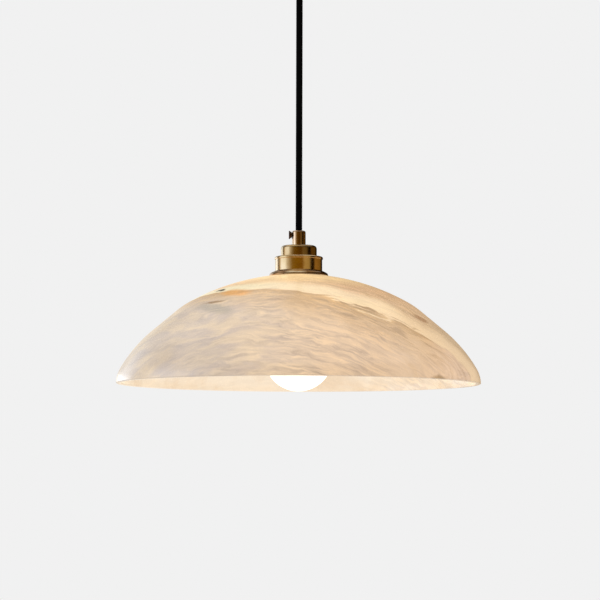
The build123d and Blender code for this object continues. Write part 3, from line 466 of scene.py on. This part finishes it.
# painted glint: a near-white band at the front, with painted shade at the sides, darkest at the right
collarBrass = brassTurned("brass_collar_painted_glint", pale="#d4bf9a", aged="#bea278",
                          turned=[(-1, "#ecccae"), (-0.7, "#dcbc98"), (-0.5, "#9c7c5c"), (-0.3, "#f8f6f8"),
                                  (0.05, "#f8f6f8"), (0.3, "#9a7a52"), (1, "#7c6038")])
# painted shade: the thumb screws' brass is darkened for the shadow they sit in
darkBrass = brassTurned("brass_screw_painted_shade", pale="#5c4330", aged="#3d2a1d", roughness=0.34)
ownFinish = {"shade_collar": collarBrass, "holder_cap": capBrass, "lamp_cord_grip": gripBrass,
             "rose_cord_grip": gripBrass, "lamp_grip_screw": darkBrass, "rose_grip_screw": darkBrass}
slotOf = {part["node"]: part["material_slot"] for part in frame["record"]["subparts"]}
for name, slot in slotOf.items():
    materials = frame["nodes"][name].data.materials
    materials.clear()
    materials.append(ownFinish.get(name, finishes[slot]))
print("materials made:", len(finishes) + len(set(ownFinish.values())))


# Mesh helpers
def addPiece(name, points, quads, triangles, body, nodes, sharpest=40):
    # a piece in its place from whole arrays of points and faces, standing for CAD nodes
    corners = np.concatenate([quads.ravel(), triangles.ravel()]).astype(np.int32)
    sizes = np.concatenate([np.full(len(quads), 4), np.full(len(triangles), 3)])
    mesh = bpy.data.meshes.new(name)
    mesh.vertices.add(len(points))
    mesh.vertices.foreach_set("co", points.astype(np.float32).ravel())
    mesh.loops.add(len(corners))
    mesh.loops.foreach_set("vertex_index", corners)
    mesh.polygons.add(len(sizes))
    mesh.polygons.foreach_set("loop_start", (np.cumsum(sizes) - sizes).astype(np.int32))
    mesh.update(calc_edges=True)
    mesh.shade_smooth()
    mesh.set_sharp_from_angle(angle=math.radians(sharpest))
    piece = bpy.data.objects.new(name, mesh)
    bpy.context.collection.objects.link(piece)
    slot = slotOf[nodes[0]]
    mesh.materials.append(ownFinish.get(nodes[0], finishes[slot]))
    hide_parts(*nodes)
    if body:
        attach(piece, body)
    return piece


def gridFaces(rows, around, poles):
    # quads of a grid that closes round each row, and from its last row to its first unless it has a pole at
    # each end, where triangles close it
    index = np.arange(rows * around).reshape(rows, around)
    lower, upper = (index[:-1], index[1:]) if poles else (index, np.roll(index, -1, axis=0))
    corners = [lower, np.roll(lower, -1, axis=1), np.roll(upper, -1, axis=1), upper]
    quads = np.stack(corners, axis=-1).reshape(-1, 4)
    if not poles:
        return quads, np.zeros((0, 3), int)
    first, last = rows * around, rows * around + 1
    start = np.stack([np.full(around, first), np.roll(index[0], -1), index[0]], axis=-1)
    end = np.stack([np.full(around, last), index[-1], np.roll(index[-1], -1)], axis=-1)
    return quads, np.concatenate([start, end])


def roundedOutline(corners, steps=6):
    # a closed outline of (radius, height, round): each corner becomes an arc that touches both its sides,
    # swung between the two touching points by the sine rule, with one more point on each side to keep the
    # flats flat
    place, rounds = corners[:, :2], corners[:, 2:]
    after = np.roll(place, -1, axis=0) - place
    lengthAfter = np.linalg.norm(after, axis=1, keepdims=True)
    after = after / lengthAfter
    before = np.roll(after, 1, axis=0)
    turn = np.arccos(np.clip((before * after).sum(axis=1, keepdims=True), -1, 1))
    reach = rounds * np.tan(turn / 2)
    start, end = place - before * reach, place + after * reach
    inward = after - before
    middle = place + inward / np.linalg.norm(inward, axis=1, keepdims=True) * rounds / np.cos(turn / 2)
    share = np.linspace(0, 1, steps)[None, :, None]
    swing = turn[:, :, None]
    fromStart = np.sin((1 - share) * swing) * (start - middle)[:, None]
    fromEnd = np.sin(share * swing) * (end - middle)[:, None]
    arcs = middle[:, None] + (fromStart + fromEnd) / np.sin(swing)
    flatAfter = lengthAfter - reach - np.roll(reach, -1, axis=0)
    flatBefore = np.roll(flatAfter, 1, axis=0)
    nearRound, mostOfFlat = 0.35, 0.3
    hold = [np.minimum(nearRound * rounds, mostOfFlat * flat) for flat in (flatBefore, flatAfter)]
    edges = [(start - before * hold[0])[:, None], arcs, (end + after * hold[1])[:, None]]
    return np.concatenate(edges, axis=1).reshape(-1, 2)


def outwardOrder(outline):
    # the order in which a turned outline's faces point outwards: anticlockwise with the axis at the left
    ahead = np.roll(outline, -1, axis=0)
    area = (outline[:, 0] * ahead[:, 1] - ahead[:, 0] * outline[:, 1]).sum()
    return outline if area > 0 else outline[::-1]


def turnedPiece(name, outline, around, body, nodes, groove=0.0, sharpest=40):
    # an outline of (radius, height) carried round Z: x = r cos a, y = r sin a, with groove taken off r. A
    # closed outline makes a ring, and one whose ends lie on the axis makes a body with a point at each end.
    poles = max(outline[0, 0], outline[-1, 0]) < 1e-9
    rows = outline[1:-1] if poles else outline
    angle = np.linspace(0, 2 * np.pi, around, endpoint=False)
    radius = rows[:, :1] - groove + 0 * angle
    points = np.stack([radius * np.cos(angle), radius * np.sin(angle), rows[:, 1:2] + 0 * angle], axis=-1)
    points = points.reshape(-1, 3)
    if poles:
        tips = outline[[0, -1]]
        points = np.concatenate([points, np.column_stack([tips[:, 0], tips[:, 0], tips[:, 1]])])
    return addPiece(name, points, *gridFaces(len(rows), around, poles), body, nodes, sharpest)


def turnedCorners(name, corners, facts, height, body, nodes, steps=6):
    # a turned piece from its corners in millimetres, measured from one height. A corner is (radius, height,
    # round), and one that names no round is only broken.
    rounded = np.array([(*corner, facts["break"])[:3] for corner in corners], float)
    outline = roundedOutline(rounded * mm, steps) + [0, height]
    return turnedPiece(name, outwardOrder(outline), facts["around"], body, nodes)


# Cord: black textile, taut between the two grips
cordFacts = {"diameter": 6.5 * mm, "length": 235.0 * mm, "carriers": 8, "lay": 19 * mm, "around": 96,
             "yarnHeight": 0.3 * mm, "crossing": 2.5, "step": 0.45 * mm, "bendAt": -56.0 * mm,
             "bendHalf": 8 * mm, "endRound": 0.6 * mm, "endDrop": 0.42 * mm}
cordRoute = [(0, 0, -279.7 * mm), (0, 0, -240.7 * mm), (0, 0, -83.7 * mm), (0, 0, -44.7 * mm)]
routeCurve = bpy.data.curves.new("cordRoute", "CURVE")
routeCurve.dimensions = "3D"
route = routeCurve.splines.new("NURBS")
route.points.add(len(cordRoute) - 1)
for point, place in zip(route.points, cordRoute):
    point.co = (*place, 1)
route.order_u = 3
route.use_endpoint_u = True
routeObject = bpy.data.objects.new("cordRoute", routeCurve)
routeMesh = bpy.data.meshes.new_from_object(routeObject)
cordLine = np.array([vertex.co for vertex in routeMesh.vertices])
bpy.data.meshes.remove(routeMesh)
bpy.data.objects.remove(routeObject)
bpy.data.curves.remove(routeCurve)


def braidedCord(line):
    # a tube round the line whose skin rises and falls as two sets of yarns cross: each set is a cosine that
    # winds one way round, and a chequer of their crossings says which set lies on top
    travelled = np.concatenate([[0], np.cumsum(np.linalg.norm(np.diff(line, axis=0), axis=1))])
    rows = math.ceil(travelled[-1] / cordFacts["step"]) + 1
    at = np.linspace(0, travelled[-1], rows)
    centre = np.stack([np.interp(at, travelled, line[:, axis]) for axis in range(3)], axis=1)
    angle = np.linspace(0, 2 * np.pi, cordFacts["around"], endpoint=False)[None, :]
    wind = 2 * np.pi * at[:, None] / cordFacts["lay"]
    left = cordFacts["carriers"] * (angle + wind)
    right = cordFacts["carriers"] * (angle - wind)
    over = 0.5 + 0.5 * np.tanh(cordFacts["crossing"] * np.sin(left / 2) * np.sin(right / 2))
    yarns = over * np.abs(np.cos(left / 2)) + (1 - over) * np.abs(np.cos(right / 2))
    endFade = 1 - np.clip(np.minimum(at, travelled[-1] - at) / cordFacts["endRound"], 0, 1)[:, None]
    yarnDepth = cordFacts["yarnHeight"] * (1 - yarns)
    radius = cordFacts["diameter"] / 2 - yarnDepth - cordFacts["endDrop"] * endFade
    skin = centre[:, None] + np.stack([radius * np.cos(angle), radius * np.sin(angle), 0 * radius], axis=-1)
    return np.concatenate([skin.reshape(-1, 3), centre[[0, -1]]]), *gridFaces(rows, cordFacts["around"], True)


cord = addPiece("textile_cord", *braidedCord(cordLine), None, ["cord", "cord_neck"], sharpest=180)
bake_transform(cord)
print("cord laid:", len(cordLine), "route points")


# Shade: a dome of tangent arcs, ground flat where it sits under the collar and over the ring
dome = {"diameter": 350.0, "height": 106.0, "wall": 5.0, "rimRound": 1.0, "rimSteps": 7, "rimInside": 0.4,
        "hole": 21.0, "seatCut": 1.5, "seatWall": 4.5, "lowSeat": 25.3, "seatEdge": 0.4, "around": 256,
        "crown": {"turn": 29.4, "steps": 30}, "shoulder": {"turn": 10.6, "radius": 85.0, "steps": 14},
        "flank": {"length": 29.0, "steps": 8}, "haunch": {"turn": 20.0, "steps": 18},
        "rim": {"radius": 29.0, "steps": 22}}


def domeArcs():
    # where each arc ends in slope, and the two radii that make the whole as wide and as tall as it is: width
    # adds up radius times the change of sine, height radius times the change of cosine
    slopes = np.radians(np.cumsum([0, *[dome[name]["turn"] for name in ("crown", "shoulder", "haunch")]]))
    s, c = np.sin(slopes), np.cos(slopes)
    shoulder, flank, rim = dome["shoulder"]["radius"], dome["flank"]["length"], dome["rim"]["radius"]
    width = dome["diameter"] / 2 - shoulder * (s[2] - s[1]) - flank * c[2] - rim * (1 - s[3])
    height = dome["height"] - shoulder * (c[1] - c[2]) - flank * s[2] - rim * c[3]
    crown, haunch = np.linalg.solve([[s[1], s[3] - s[2]], [1 - c[1], c[2] - c[3]]], [width, height])
    return slopes, {"crown": crown, "shoulder": shoulder, "haunch": haunch, "rim": rim}


def domeFace(inset):
    # one face from the axis to the rim, r and z adding up along the arcs and the straight flank; inset
    # shortens each radius
    slopes, radii = domeArcs()
    legs = [("crown", slopes[0], slopes[1]), ("shoulder", slopes[1], slopes[2]),
            ("flank", slopes[2], slopes[2]), ("haunch", slopes[2], slopes[3]), ("rim", slopes[3], np.pi / 2)]
    r, z, runs = 0.0, -inset, []
    for name, first, last in legs:
        share = np.linspace(0, 1, dome[name]["steps"] + 1)
        if name == "flank":
            run = np.stack([r + share * dome[name]["length"] * np.cos(first),
                            z - share * dome[name]["length"] * np.sin(first)], axis=-1)
        else:
            swing = first + share * (last - first)
            run = np.stack([r + (radii[name] - inset) * (np.sin(swing) - np.sin(first)),
                            z - (radii[name] - inset) * (np.cos(first) - np.cos(swing))], axis=-1)
        r, z = run[-1]
        runs.append(run[:-1])
    return np.concatenate(runs), r, z, radii["crown"]


def domeOutline():
    # outer face, rounded rim, inner face and the two ground seats round the hole, with a third column that
    # says how far a point lies on the hollow side
    outer, rimOuter, rimBase, crownRadius = domeFace(0.0)
    inner, rimInner = domeFace(dome["wall"])[:2]
    seat, hole, broken = -dome["seatCut"], dome["hole"], dome["seatEdge"]
    lowSeat, lowRadius = seat - dome["seatWall"], dome["lowSeat"]
    rimRound = dome["rimRound"]
    swing = np.linspace(0, np.pi / 2, dome["rimSteps"])
    byCosine, bySine = rimRound * (1 - np.cos(swing)), rimRound * (1 - np.sin(swing))
    outerEdge = np.stack([rimOuter - byCosine, rimBase + bySine], axis=-1)
    innerEdge = np.stack([rimInner + bySine, rimBase + byCosine], axis=-1)
    edgeTop = rimBase + 1.05 * rimRound  # the faces end just clear of the rounded edge
    outer = outer[(outer[:, 1] < seat) & (outer[:, 1] > edgeTop)]
    inner = inner[(inner[:, 0] > lowRadius) & (inner[:, 1] > edgeTop)][::-1]
    seatReach = math.sqrt(dome["seatCut"] * (2 * crownRadius - dome["seatCut"]))
    seats = [(lowRadius, inner[-1, 1]), (lowRadius, lowSeat), (hole + broken, lowSeat),
             (hole, lowSeat + broken), (hole, seat - broken), (hole + broken, seat), (seatReach, seat)]
    outline = np.concatenate([outer, outerEdge, innerEdge, inner, seats]) * mm
    outline = outline + [0, base("shade") - rimBase * mm]
    inside = np.concatenate([np.zeros(len(outer)), np.linspace(0, dome["rimInside"], len(outerEdge)),
                             np.ones(len(innerEdge)), np.ones(len(inner)), np.zeros(len(seats))])
    return outwardOrder(np.column_stack([outline, inside]))


domeLine = domeOutline()
shade = turnedPiece("alabaster_shade", domeLine, dome["around"], "shade", ["shade"], sharpest=50)
insideMark = shade.data.attributes.new("inside", "FLOAT", "POINT")
insideMark.data.foreach_set("value", np.repeat(domeLine[:, 2], dome["around"]).astype(np.float32))
print("shade turned:", len(domeLine), "profile points")

# Brass of the lampholder and of both cord grips: lathe work on the CAD heights and radii, with every edge
# broken
grip = {"bore": 3.55, "mouthRound": 0.6, "radius": 6.6, "edgeRound": 1.8, "length": 14.7, "nipple": 5.0,
        "nippleLength": 6.0, "break": 0.3, "rootRound": 0.1, "around": 96}
grips = [("lamp_grip", "lamp_cord_grip", "lampholder", top("lamp_cord_grip"), -1),
         ("rose_grip", "rose_cord_grip", "ceiling_rose", base("rose_cord_grip"), 1)]
for name, node, body, mouth, away in grips:
    shoulder, end = away * grip["length"], away * (grip["length"] + grip["nippleLength"])
    corners = [(grip["bore"], 0, grip["mouthRound"]), (grip["radius"], 0, grip["edgeRound"]),
               (grip["radius"], shoulder), (grip["nipple"], shoulder, grip["rootRound"]),
               (grip["nipple"], end), (grip["bore"], end)]
    turnedCorners(name, corners, grip, mouth, body, [node])

cap = {"bore": 5.1, "wall": 1.4, "edgeRound": 2.8, "innerRound": 1.4, "neck": 16.0, "neckRound": 0.3,
       "rootRound": 0.1, "break": 0.2, "around": 128}
capRadius = outerRadius("holder_cap") / mm
capDrop = (top("holder_body") - top("holder_cap")) / mm
neckDrop = (base("holder_cap") - top("holder_cap")) / mm
capInner, neckInner, capFloor = capRadius - cap["wall"], cap["neck"] - cap["wall"], capDrop + cap["wall"]
capCorners = [(cap["bore"], 0), (capRadius, 0, cap["edgeRound"]), (capRadius, capDrop),
              (cap["neck"], capDrop, cap["rootRound"]), (cap["neck"], neckDrop), (neckInner, neckDrop),
              (neckInner, capFloor, cap["neckRound"]), (capInner, capFloor, cap["neckRound"]),
              (capInner, -cap["wall"], cap["innerRound"]), (cap["bore"], -cap["wall"])]
turnedCorners("holder_cap_turned", capCorners, cap, top("holder_cap"), "lampholder", ["holder_cap"])

holder = {"bore": 16.1, "lipHeight": 2.6, "lipProud": 0.7, "lipRound": 1.25, "lipUnderRound": 0.6,
          "lipRootRound": 0.04, "wall": 1.2, "plate": 1.6, "plateRound": 0.5, "break": 0.2, "around": 128}
lipRadius = outerRadius("holder_body") / mm
holderRadius = lipRadius - holder["lipProud"]
holderInner = holderRadius - holder["wall"]
holderDrop = (base("holder_body") - top("holder_body")) / mm
holderCorners = [(holder["bore"], 0), (lipRadius, 0, holder["lipRound"]),
                 (lipRadius, -holder["lipHeight"], holder["lipUnderRound"]),
                 (holderRadius, -holder["lipHeight"], holder["lipRootRound"]), (holderRadius, holderDrop),
                 (holderInner, holderDrop), (holderInner, -holder["plate"], holder["plateRound"]),
                 (holder["bore"], -holder["plate"])]
turnedCorners("holder_body_turned", holderCorners, holder, top("holder_body"), "lampholder", ["holder_body"])

collar = {"bore": 20.1, "land": 22.95, "edge": 2.1, "edgeRound": 3.0, "recess": 23.5, "recessDepth": 0.7,
          "break": 0.12, "around": 128}
collarRadius = outerRadius("shade_collar") / mm
collarDrop = (base("shade_collar") - top("shade_collar")) / mm
collarFloor = collarDrop + collar["recessDepth"]
collarCorners = [(collar["bore"], 0), (collar["land"], 0),
                 (collarRadius, collarDrop + collar["edge"], collar["edgeRound"]), (collarRadius, collarDrop),
                 (collar["recess"], collarDrop), (collar["recess"], collarFloor),
                 (collar["bore"], collarFloor)]
turnedCorners("shade_collar_turned", collarCorners, collar, top("shade_collar"), "lampholder",
              ["shade_collar"])

# Ceiling rose cup, spun from sheet
rose = {"bore": 5.1, "wall": 1.2, "cornerRound": 8.0, "break": 0.3, "around": 192}
roseRadius, roseBase = outerRadius("rose_cup") / mm, base("rose_cup") / mm
roseInner, roseFloor = roseRadius - rose["wall"], roseBase + rose["wall"]
roseCorners = [(rose["bore"], roseBase), (roseRadius, roseBase, rose["cornerRound"]), (roseRadius, 0),
               (roseInner, 0), (roseInner, roseFloor, rose["cornerRound"] - rose["wall"]),
               (rose["bore"], roseFloor)]
turnedCorners("rose_cup_spun", roseCorners, rose, 0, "ceiling_rose", ["rose_cup"], steps=12)
print("brass turned")


# Screw threads of the sleeve and of the bulb's cap
def threadGroove(outline, thread):
    # how deep the groove is under its crest: a wave of height over pitch less the angle in turns, times the
    # outline's third column, which is 1 along the thread and fades to 0 at its ends
    angle = np.linspace(0, 2 * np.pi, thread["around"], endpoint=False)
    turns = outline[:, 1:2] / thread["pitch"] - angle / (2 * np.pi)
    return thread["depth"] * (0.5 - 0.5 * np.cos(2 * np.pi * turns)) * outline[:, 2:]


def threadedStretch(radius, bottom, height, thread):
    # rows along a threaded face from its bottom upwards, which start and end plain
    rows = math.ceil(height / thread["pitch"] * thread["rowsPerTurn"])
    rise = np.linspace(0, height, rows)
    fade = np.clip(np.minimum(rise, height - rise) / (thread["runOut"] * thread["pitch"]), 0, 1)
    return np.column_stack([np.full(rows, radius), bottom + rise, fade])


sleeve = {"radius": 20.0 * mm, "bore": 18.4 * mm, "flangeHeight": 4.0 * mm, "pitch": 2.5 * mm,
          "depth": 0.5 * mm, "plain": 9.5 * mm, "runOut": 0.3, "rowsPerTurn": 12, "around": 128}
sleeveTop, sleeveBase = top("holder_sleeve"), base("holder_sleeve")
flangeRadius, flangeBase = outerRadius("holder_sleeve"), sleeveTop - sleeve["flangeHeight"]
threadTop = flangeBase - sleeve["plain"]
sleeveLine = np.concatenate([[(sleeve["bore"], sleeveBase, 0)],
                             threadedStretch(sleeve["radius"], sleeveBase, threadTop - sleeveBase, sleeve),
                             [(sleeve["radius"], flangeBase, 0), (flangeRadius, flangeBase, 0),
                              (flangeRadius, sleeveTop, 0), (sleeve["bore"], sleeveTop, 0)]])
turnedPiece("holder_sleeve_threaded", sleeveLine, sleeve["around"], "lampholder", ["holder_sleeve"],
            groove=threadGroove(sleeveLine, sleeve), sharpest=35)

bulbCap = {"radius": 13.1 * mm, "pitch": 3.629 * mm, "depth": 1.1 * mm, "bore": 11.5 * mm, "skirt": 3.0 * mm,
           "skirtRadius": 12.55 * mm, "runOut": 0.3, "rowsPerTurn": 14, "around": 96}
bulbCapTop, bulbCapBase = top("bulb_cap"), base("bulb_cap")
bulbThread = threadedStretch(bulbCap["radius"], bulbCapBase + bulbCap["skirt"],
                             bulbCapTop - bulbCapBase - bulbCap["skirt"], bulbCap)
# its ends lie half a groove deep, as the sheet's plain skirt does
bulbThread[:, 0] -= 0.5 * bulbCap["depth"] * (1 - bulbThread[:, 2])
bulbSkirt = [(bulbCap["bore"], bulbCapBase, 0), (bulbCap["skirtRadius"], bulbCapBase, 0)]
bulbCapLine = np.concatenate([bulbSkirt, bulbThread, [(bulbCap["bore"], bulbCapTop, 0)]])
turnedPiece("bulb_cap_threaded", bulbCapLine, bulbCap["around"], "bulb", ["bulb_cap"],
            groove=threadGroove(bulbCapLine, bulbCap), sharpest=50)
print("threads cut")

# Bulb: an opal globe on its threaded cap
globe = {"radius": 33.0, "neck": 13.2, "wall": 1.0, "tail": 11.4, "capGap": 0.1, "around": 128,
         "bowlSteps": 60, "neckSteps": 16}


def globeOutline():
    # a sphere that a hollow arc draws out into the neck, from the outer tip round the neck to the inner tip
    centre = base("bulb_globe") / mm + globe["radius"]
    neckTop = base("bulb_cap") / mm - globe["capGap"]
    rise = neckTop - centre
    hollow = (globe["neck"] ** 2 + rise ** 2 - globe["radius"] ** 2) / (2 * (globe["radius"] - globe["neck"]))
    turn = math.atan2(rise, globe["neck"] + hollow)
    faces = []
    for inset in (0.0, globe["wall"]):
        swing = np.linspace(-np.pi / 2, turn, globe["bowlSteps"])
        back = np.linspace(np.pi + turn, np.pi, globe["neckSteps"])[1:]
        bowl = np.stack([np.cos(swing), np.sin(swing)], axis=-1) * (globe["radius"] - inset) + [0, centre]
        neck = np.stack([np.cos(back), np.sin(back)], axis=-1) * (hollow + inset)
        neck = neck + [globe["neck"] + hollow, neckTop]
        bowl[0, 0] = 0.0
        faces.append(np.concatenate([bowl, neck]))
    tailTop, tailInner = top("bulb_globe") / mm, globe["tail"] - globe["wall"]
    tail = [(globe["tail"], neckTop), (globe["tail"], tailTop), (tailInner, tailTop),
            (tailInner, neckTop - globe["wall"])]
    return np.concatenate([faces[0], tail, faces[1][::-1]]) * mm


turnedPiece("bulb_globe_blown", outwardOrder(globeOutline()), globe["around"], "bulb", ["bulb_globe"])
print("bulb blown")

# Stage: a pale floor far below, and a studio wall that only polished surfaces see
studio = {"pale": "#f1f1f1", "floor": -2.4, "floorSize": 12.0, "wallRadius": 3.2, "wallHeights": (-1.5, 2.4),
          "wallSides": 96, "dim": 0.85, "shown": 1.0, "floorLift": 0.13, "floorRoughness": 0.9,
          "fade": {"From Min": 0.5, "From Max": 1.1, "To Min": 1.0, "To Max": 0.35}}


def seenDirectly(tree):
    # 1 for what the camera sees, straight or in polished metal and glass, and 0 for light on the object
    rays = addNode(tree, "LightPath").outputs
    seen = addNode(tree, "Math", {0: rays["Is Camera Ray"], 1: rays["Is Glossy Ray"]}, greater)
    return addNode(tree, "Math", {0: seen, 1: rays["Is Transmission Ray"]}, greater)


side = studio["floorSize"]
floorMesh = bpy.data.meshes.new("floor")
floorPoints = [(x * side, y * side, studio["floor"]) for x, y in ((-1, -1), (1, -1), (1, 1), (-1, 1))]
floorMesh.from_pydata(floorPoints, [], [(0, 1, 2, 3)])
floor = bpy.data.objects.new("floor", floorMesh)
bpy.context.collection.objects.link(floor)
floorPaint, floorTree, floorShader = newMaterial("floor_matt_paint")
lifted = addNode(floorTree, "Math", {0: seenDirectly(floorTree), 1: studio["floorLift"]}, multiply)
feed(floorTree, floorShader, {"Base Color": linear(studio["pale"]), "Roughness": studio["floorRoughness"],
                              "Emission Color": toLight(1.0), "Emission Strength": lifted})
floorMesh.materials.append(floorPaint)

# what the wall shows by direction, in degrees from the camera's side with those to its right positive, and
# how bright each tone is
wallTones = [(-180, "#e6dccc", 0.8), (-154, "#e0dcd0", 1.1), (-146, "#d2e0f4", 1.8), (-128, "#d2e0f4", 1.8),
             (-122, "#3a280c", 0.5), (-117, "#82642c", 0.9), (-105, "#b09a68", 1.2), (-97, "#b8d0fa", 2.3),
             (-68, "#b8d0fa", 2.3), (-60, "#dcdcdc", 1.3), (-40, "#b8a67c", 0.85), (-33, "#8c6c10", 1.12),
             (20, "#845c06", 1.12), (26, "#b29c68", 1.25), (54, "#a8925c", 1.2), (62, "#3a2408", 0.5),
             (70, "#2a1402", 0.4), (80, "#2a1402", 0.4), (87, "#a8803c", 1.0), (128, "#94702c", 0.9),
             (140, "#3a2409", 0.5), (180, "#3a2409", 0.5)]
sides = studio["wallSides"]
angle = np.linspace(0, 2 * np.pi, sides, endpoint=False)
ring = np.stack([studio["wallRadius"] * np.cos(angle), studio["wallRadius"] * np.sin(angle)], axis=-1)
wallRings = [np.column_stack([ring, np.full(sides, level)]) for level in studio["wallHeights"]]
wallPoints = np.concatenate(wallRings)
lower = np.arange(sides)
wallQuads = np.stack([lower, lower + sides, np.roll(lower, -1) + sides, np.roll(lower, -1)], axis=-1)
wallMesh = bpy.data.meshes.new("studioWall")
wallMesh.from_pydata(wallPoints.tolist(), [], wallQuads.tolist())
wall = bpy.data.objects.new("studioWall", wallMesh)
bpy.context.collection.objects.link(wall)
wallPaint, wallTree, wallShader = newMaterial("studio_wall")
wallTree.nodes.remove(wallShader)  # the wall only glows
wallPlace = addNode(wallTree, "TexCoord").outputs["Object"]
wallX, wallY, wallZ = addNode(wallTree, "SeparateXYZ", {0: wallPlace}).outputs
forward = addNode(wallTree, "Math", {0: wallY, 1: -1.0}, multiply)
bearing = addNode(wallTree, "Math", {0: wallX, 1: forward}, {"operation": "ARCTAN2"})
turnShare = addNode(wallTree, "MapRange", {"Value": bearing, "From Min": -np.pi, "From Max": np.pi})
wallStops = [(degrees, (*[level * part for part in linear(code)[:3]], 1.0))
             for degrees, code, level in wallTones]
wallTone = addNode(wallTree, "ValToRGB", {"Fac": turnShare}, stops=wallStops, span=(-180, 180))
# the wall fades upwards, which keeps haze off the left edge of the stone
wallFade = addNode(wallTree, "MapRange", {"Value": wallZ, **studio["fade"]})
wallGlow = addNode(wallTree, "Emission", {"Color": wallTone, "Strength": wallFade})
feed(wallTree, wallTree.nodes["Material Output"], {"Surface": wallGlow})
wallMesh.materials.append(wallPaint)
wall.visible_camera = False
wall.visible_diffuse = False
wall.visible_transmission = False
wall.visible_shadow = False

world = bpy.data.worlds.new("studio")
bpy.context.scene.world = world
world.use_nodes = True
sky = world.node_tree
pale = addNode(sky, "Background", {"Color": linear(studio["pale"]), "Strength": studio["shown"]})
dim = addNode(sky, "Background", {"Color": toLight(1.0), "Strength": studio["dim"]})
either = addNode(sky, "MixShader", {0: seenDirectly(sky), 1: dim, 2: pale})
feed(sky, sky.nodes["World Output"], {"Surface": either})

# Lamps: a tall soft box at the left, a weak one above in front, and a low window behind at the left, which
# the rim mirrors
lamps = {"leftBox": {"place": (-1.45, -0.12, -0.15), "size": (1.1, 1.5), "power": 2.5},
         "frontBox": {"place": (0.5, -2.2, 1.1), "size": (1.6, 1.2), "power": 5.0, "mirrored": False},
         "lowWindow": {"place": (-1.6, 2.1, -0.28), "size": (1.3, 0.4), "power": 3.4}}
lookAt = np.array([0.0, 0.0, -0.36])
for name, facts in lamps.items():
    light = bpy.data.lights.new(name, "AREA")
    light.shape = "RECTANGLE"
    light.size, light.size_y = facts["size"]
    light.energy = facts["power"]
    lamp = bpy.data.objects.new(name, light)
    lamp.location = facts["place"]
    towards = lookAt - np.array(facts["place"])
    flatReach = math.hypot(towards[0], towards[1])
    lamp.rotation_euler = (math.atan2(flatReach, -towards[2]), 0, math.atan2(-towards[0], towards[1]))
    lamp.visible_camera = False
    lamp.visible_glossy = facts.get("mirrored", True)
    bpy.context.collection.objects.link(lamp)
print("stage and lamps set")
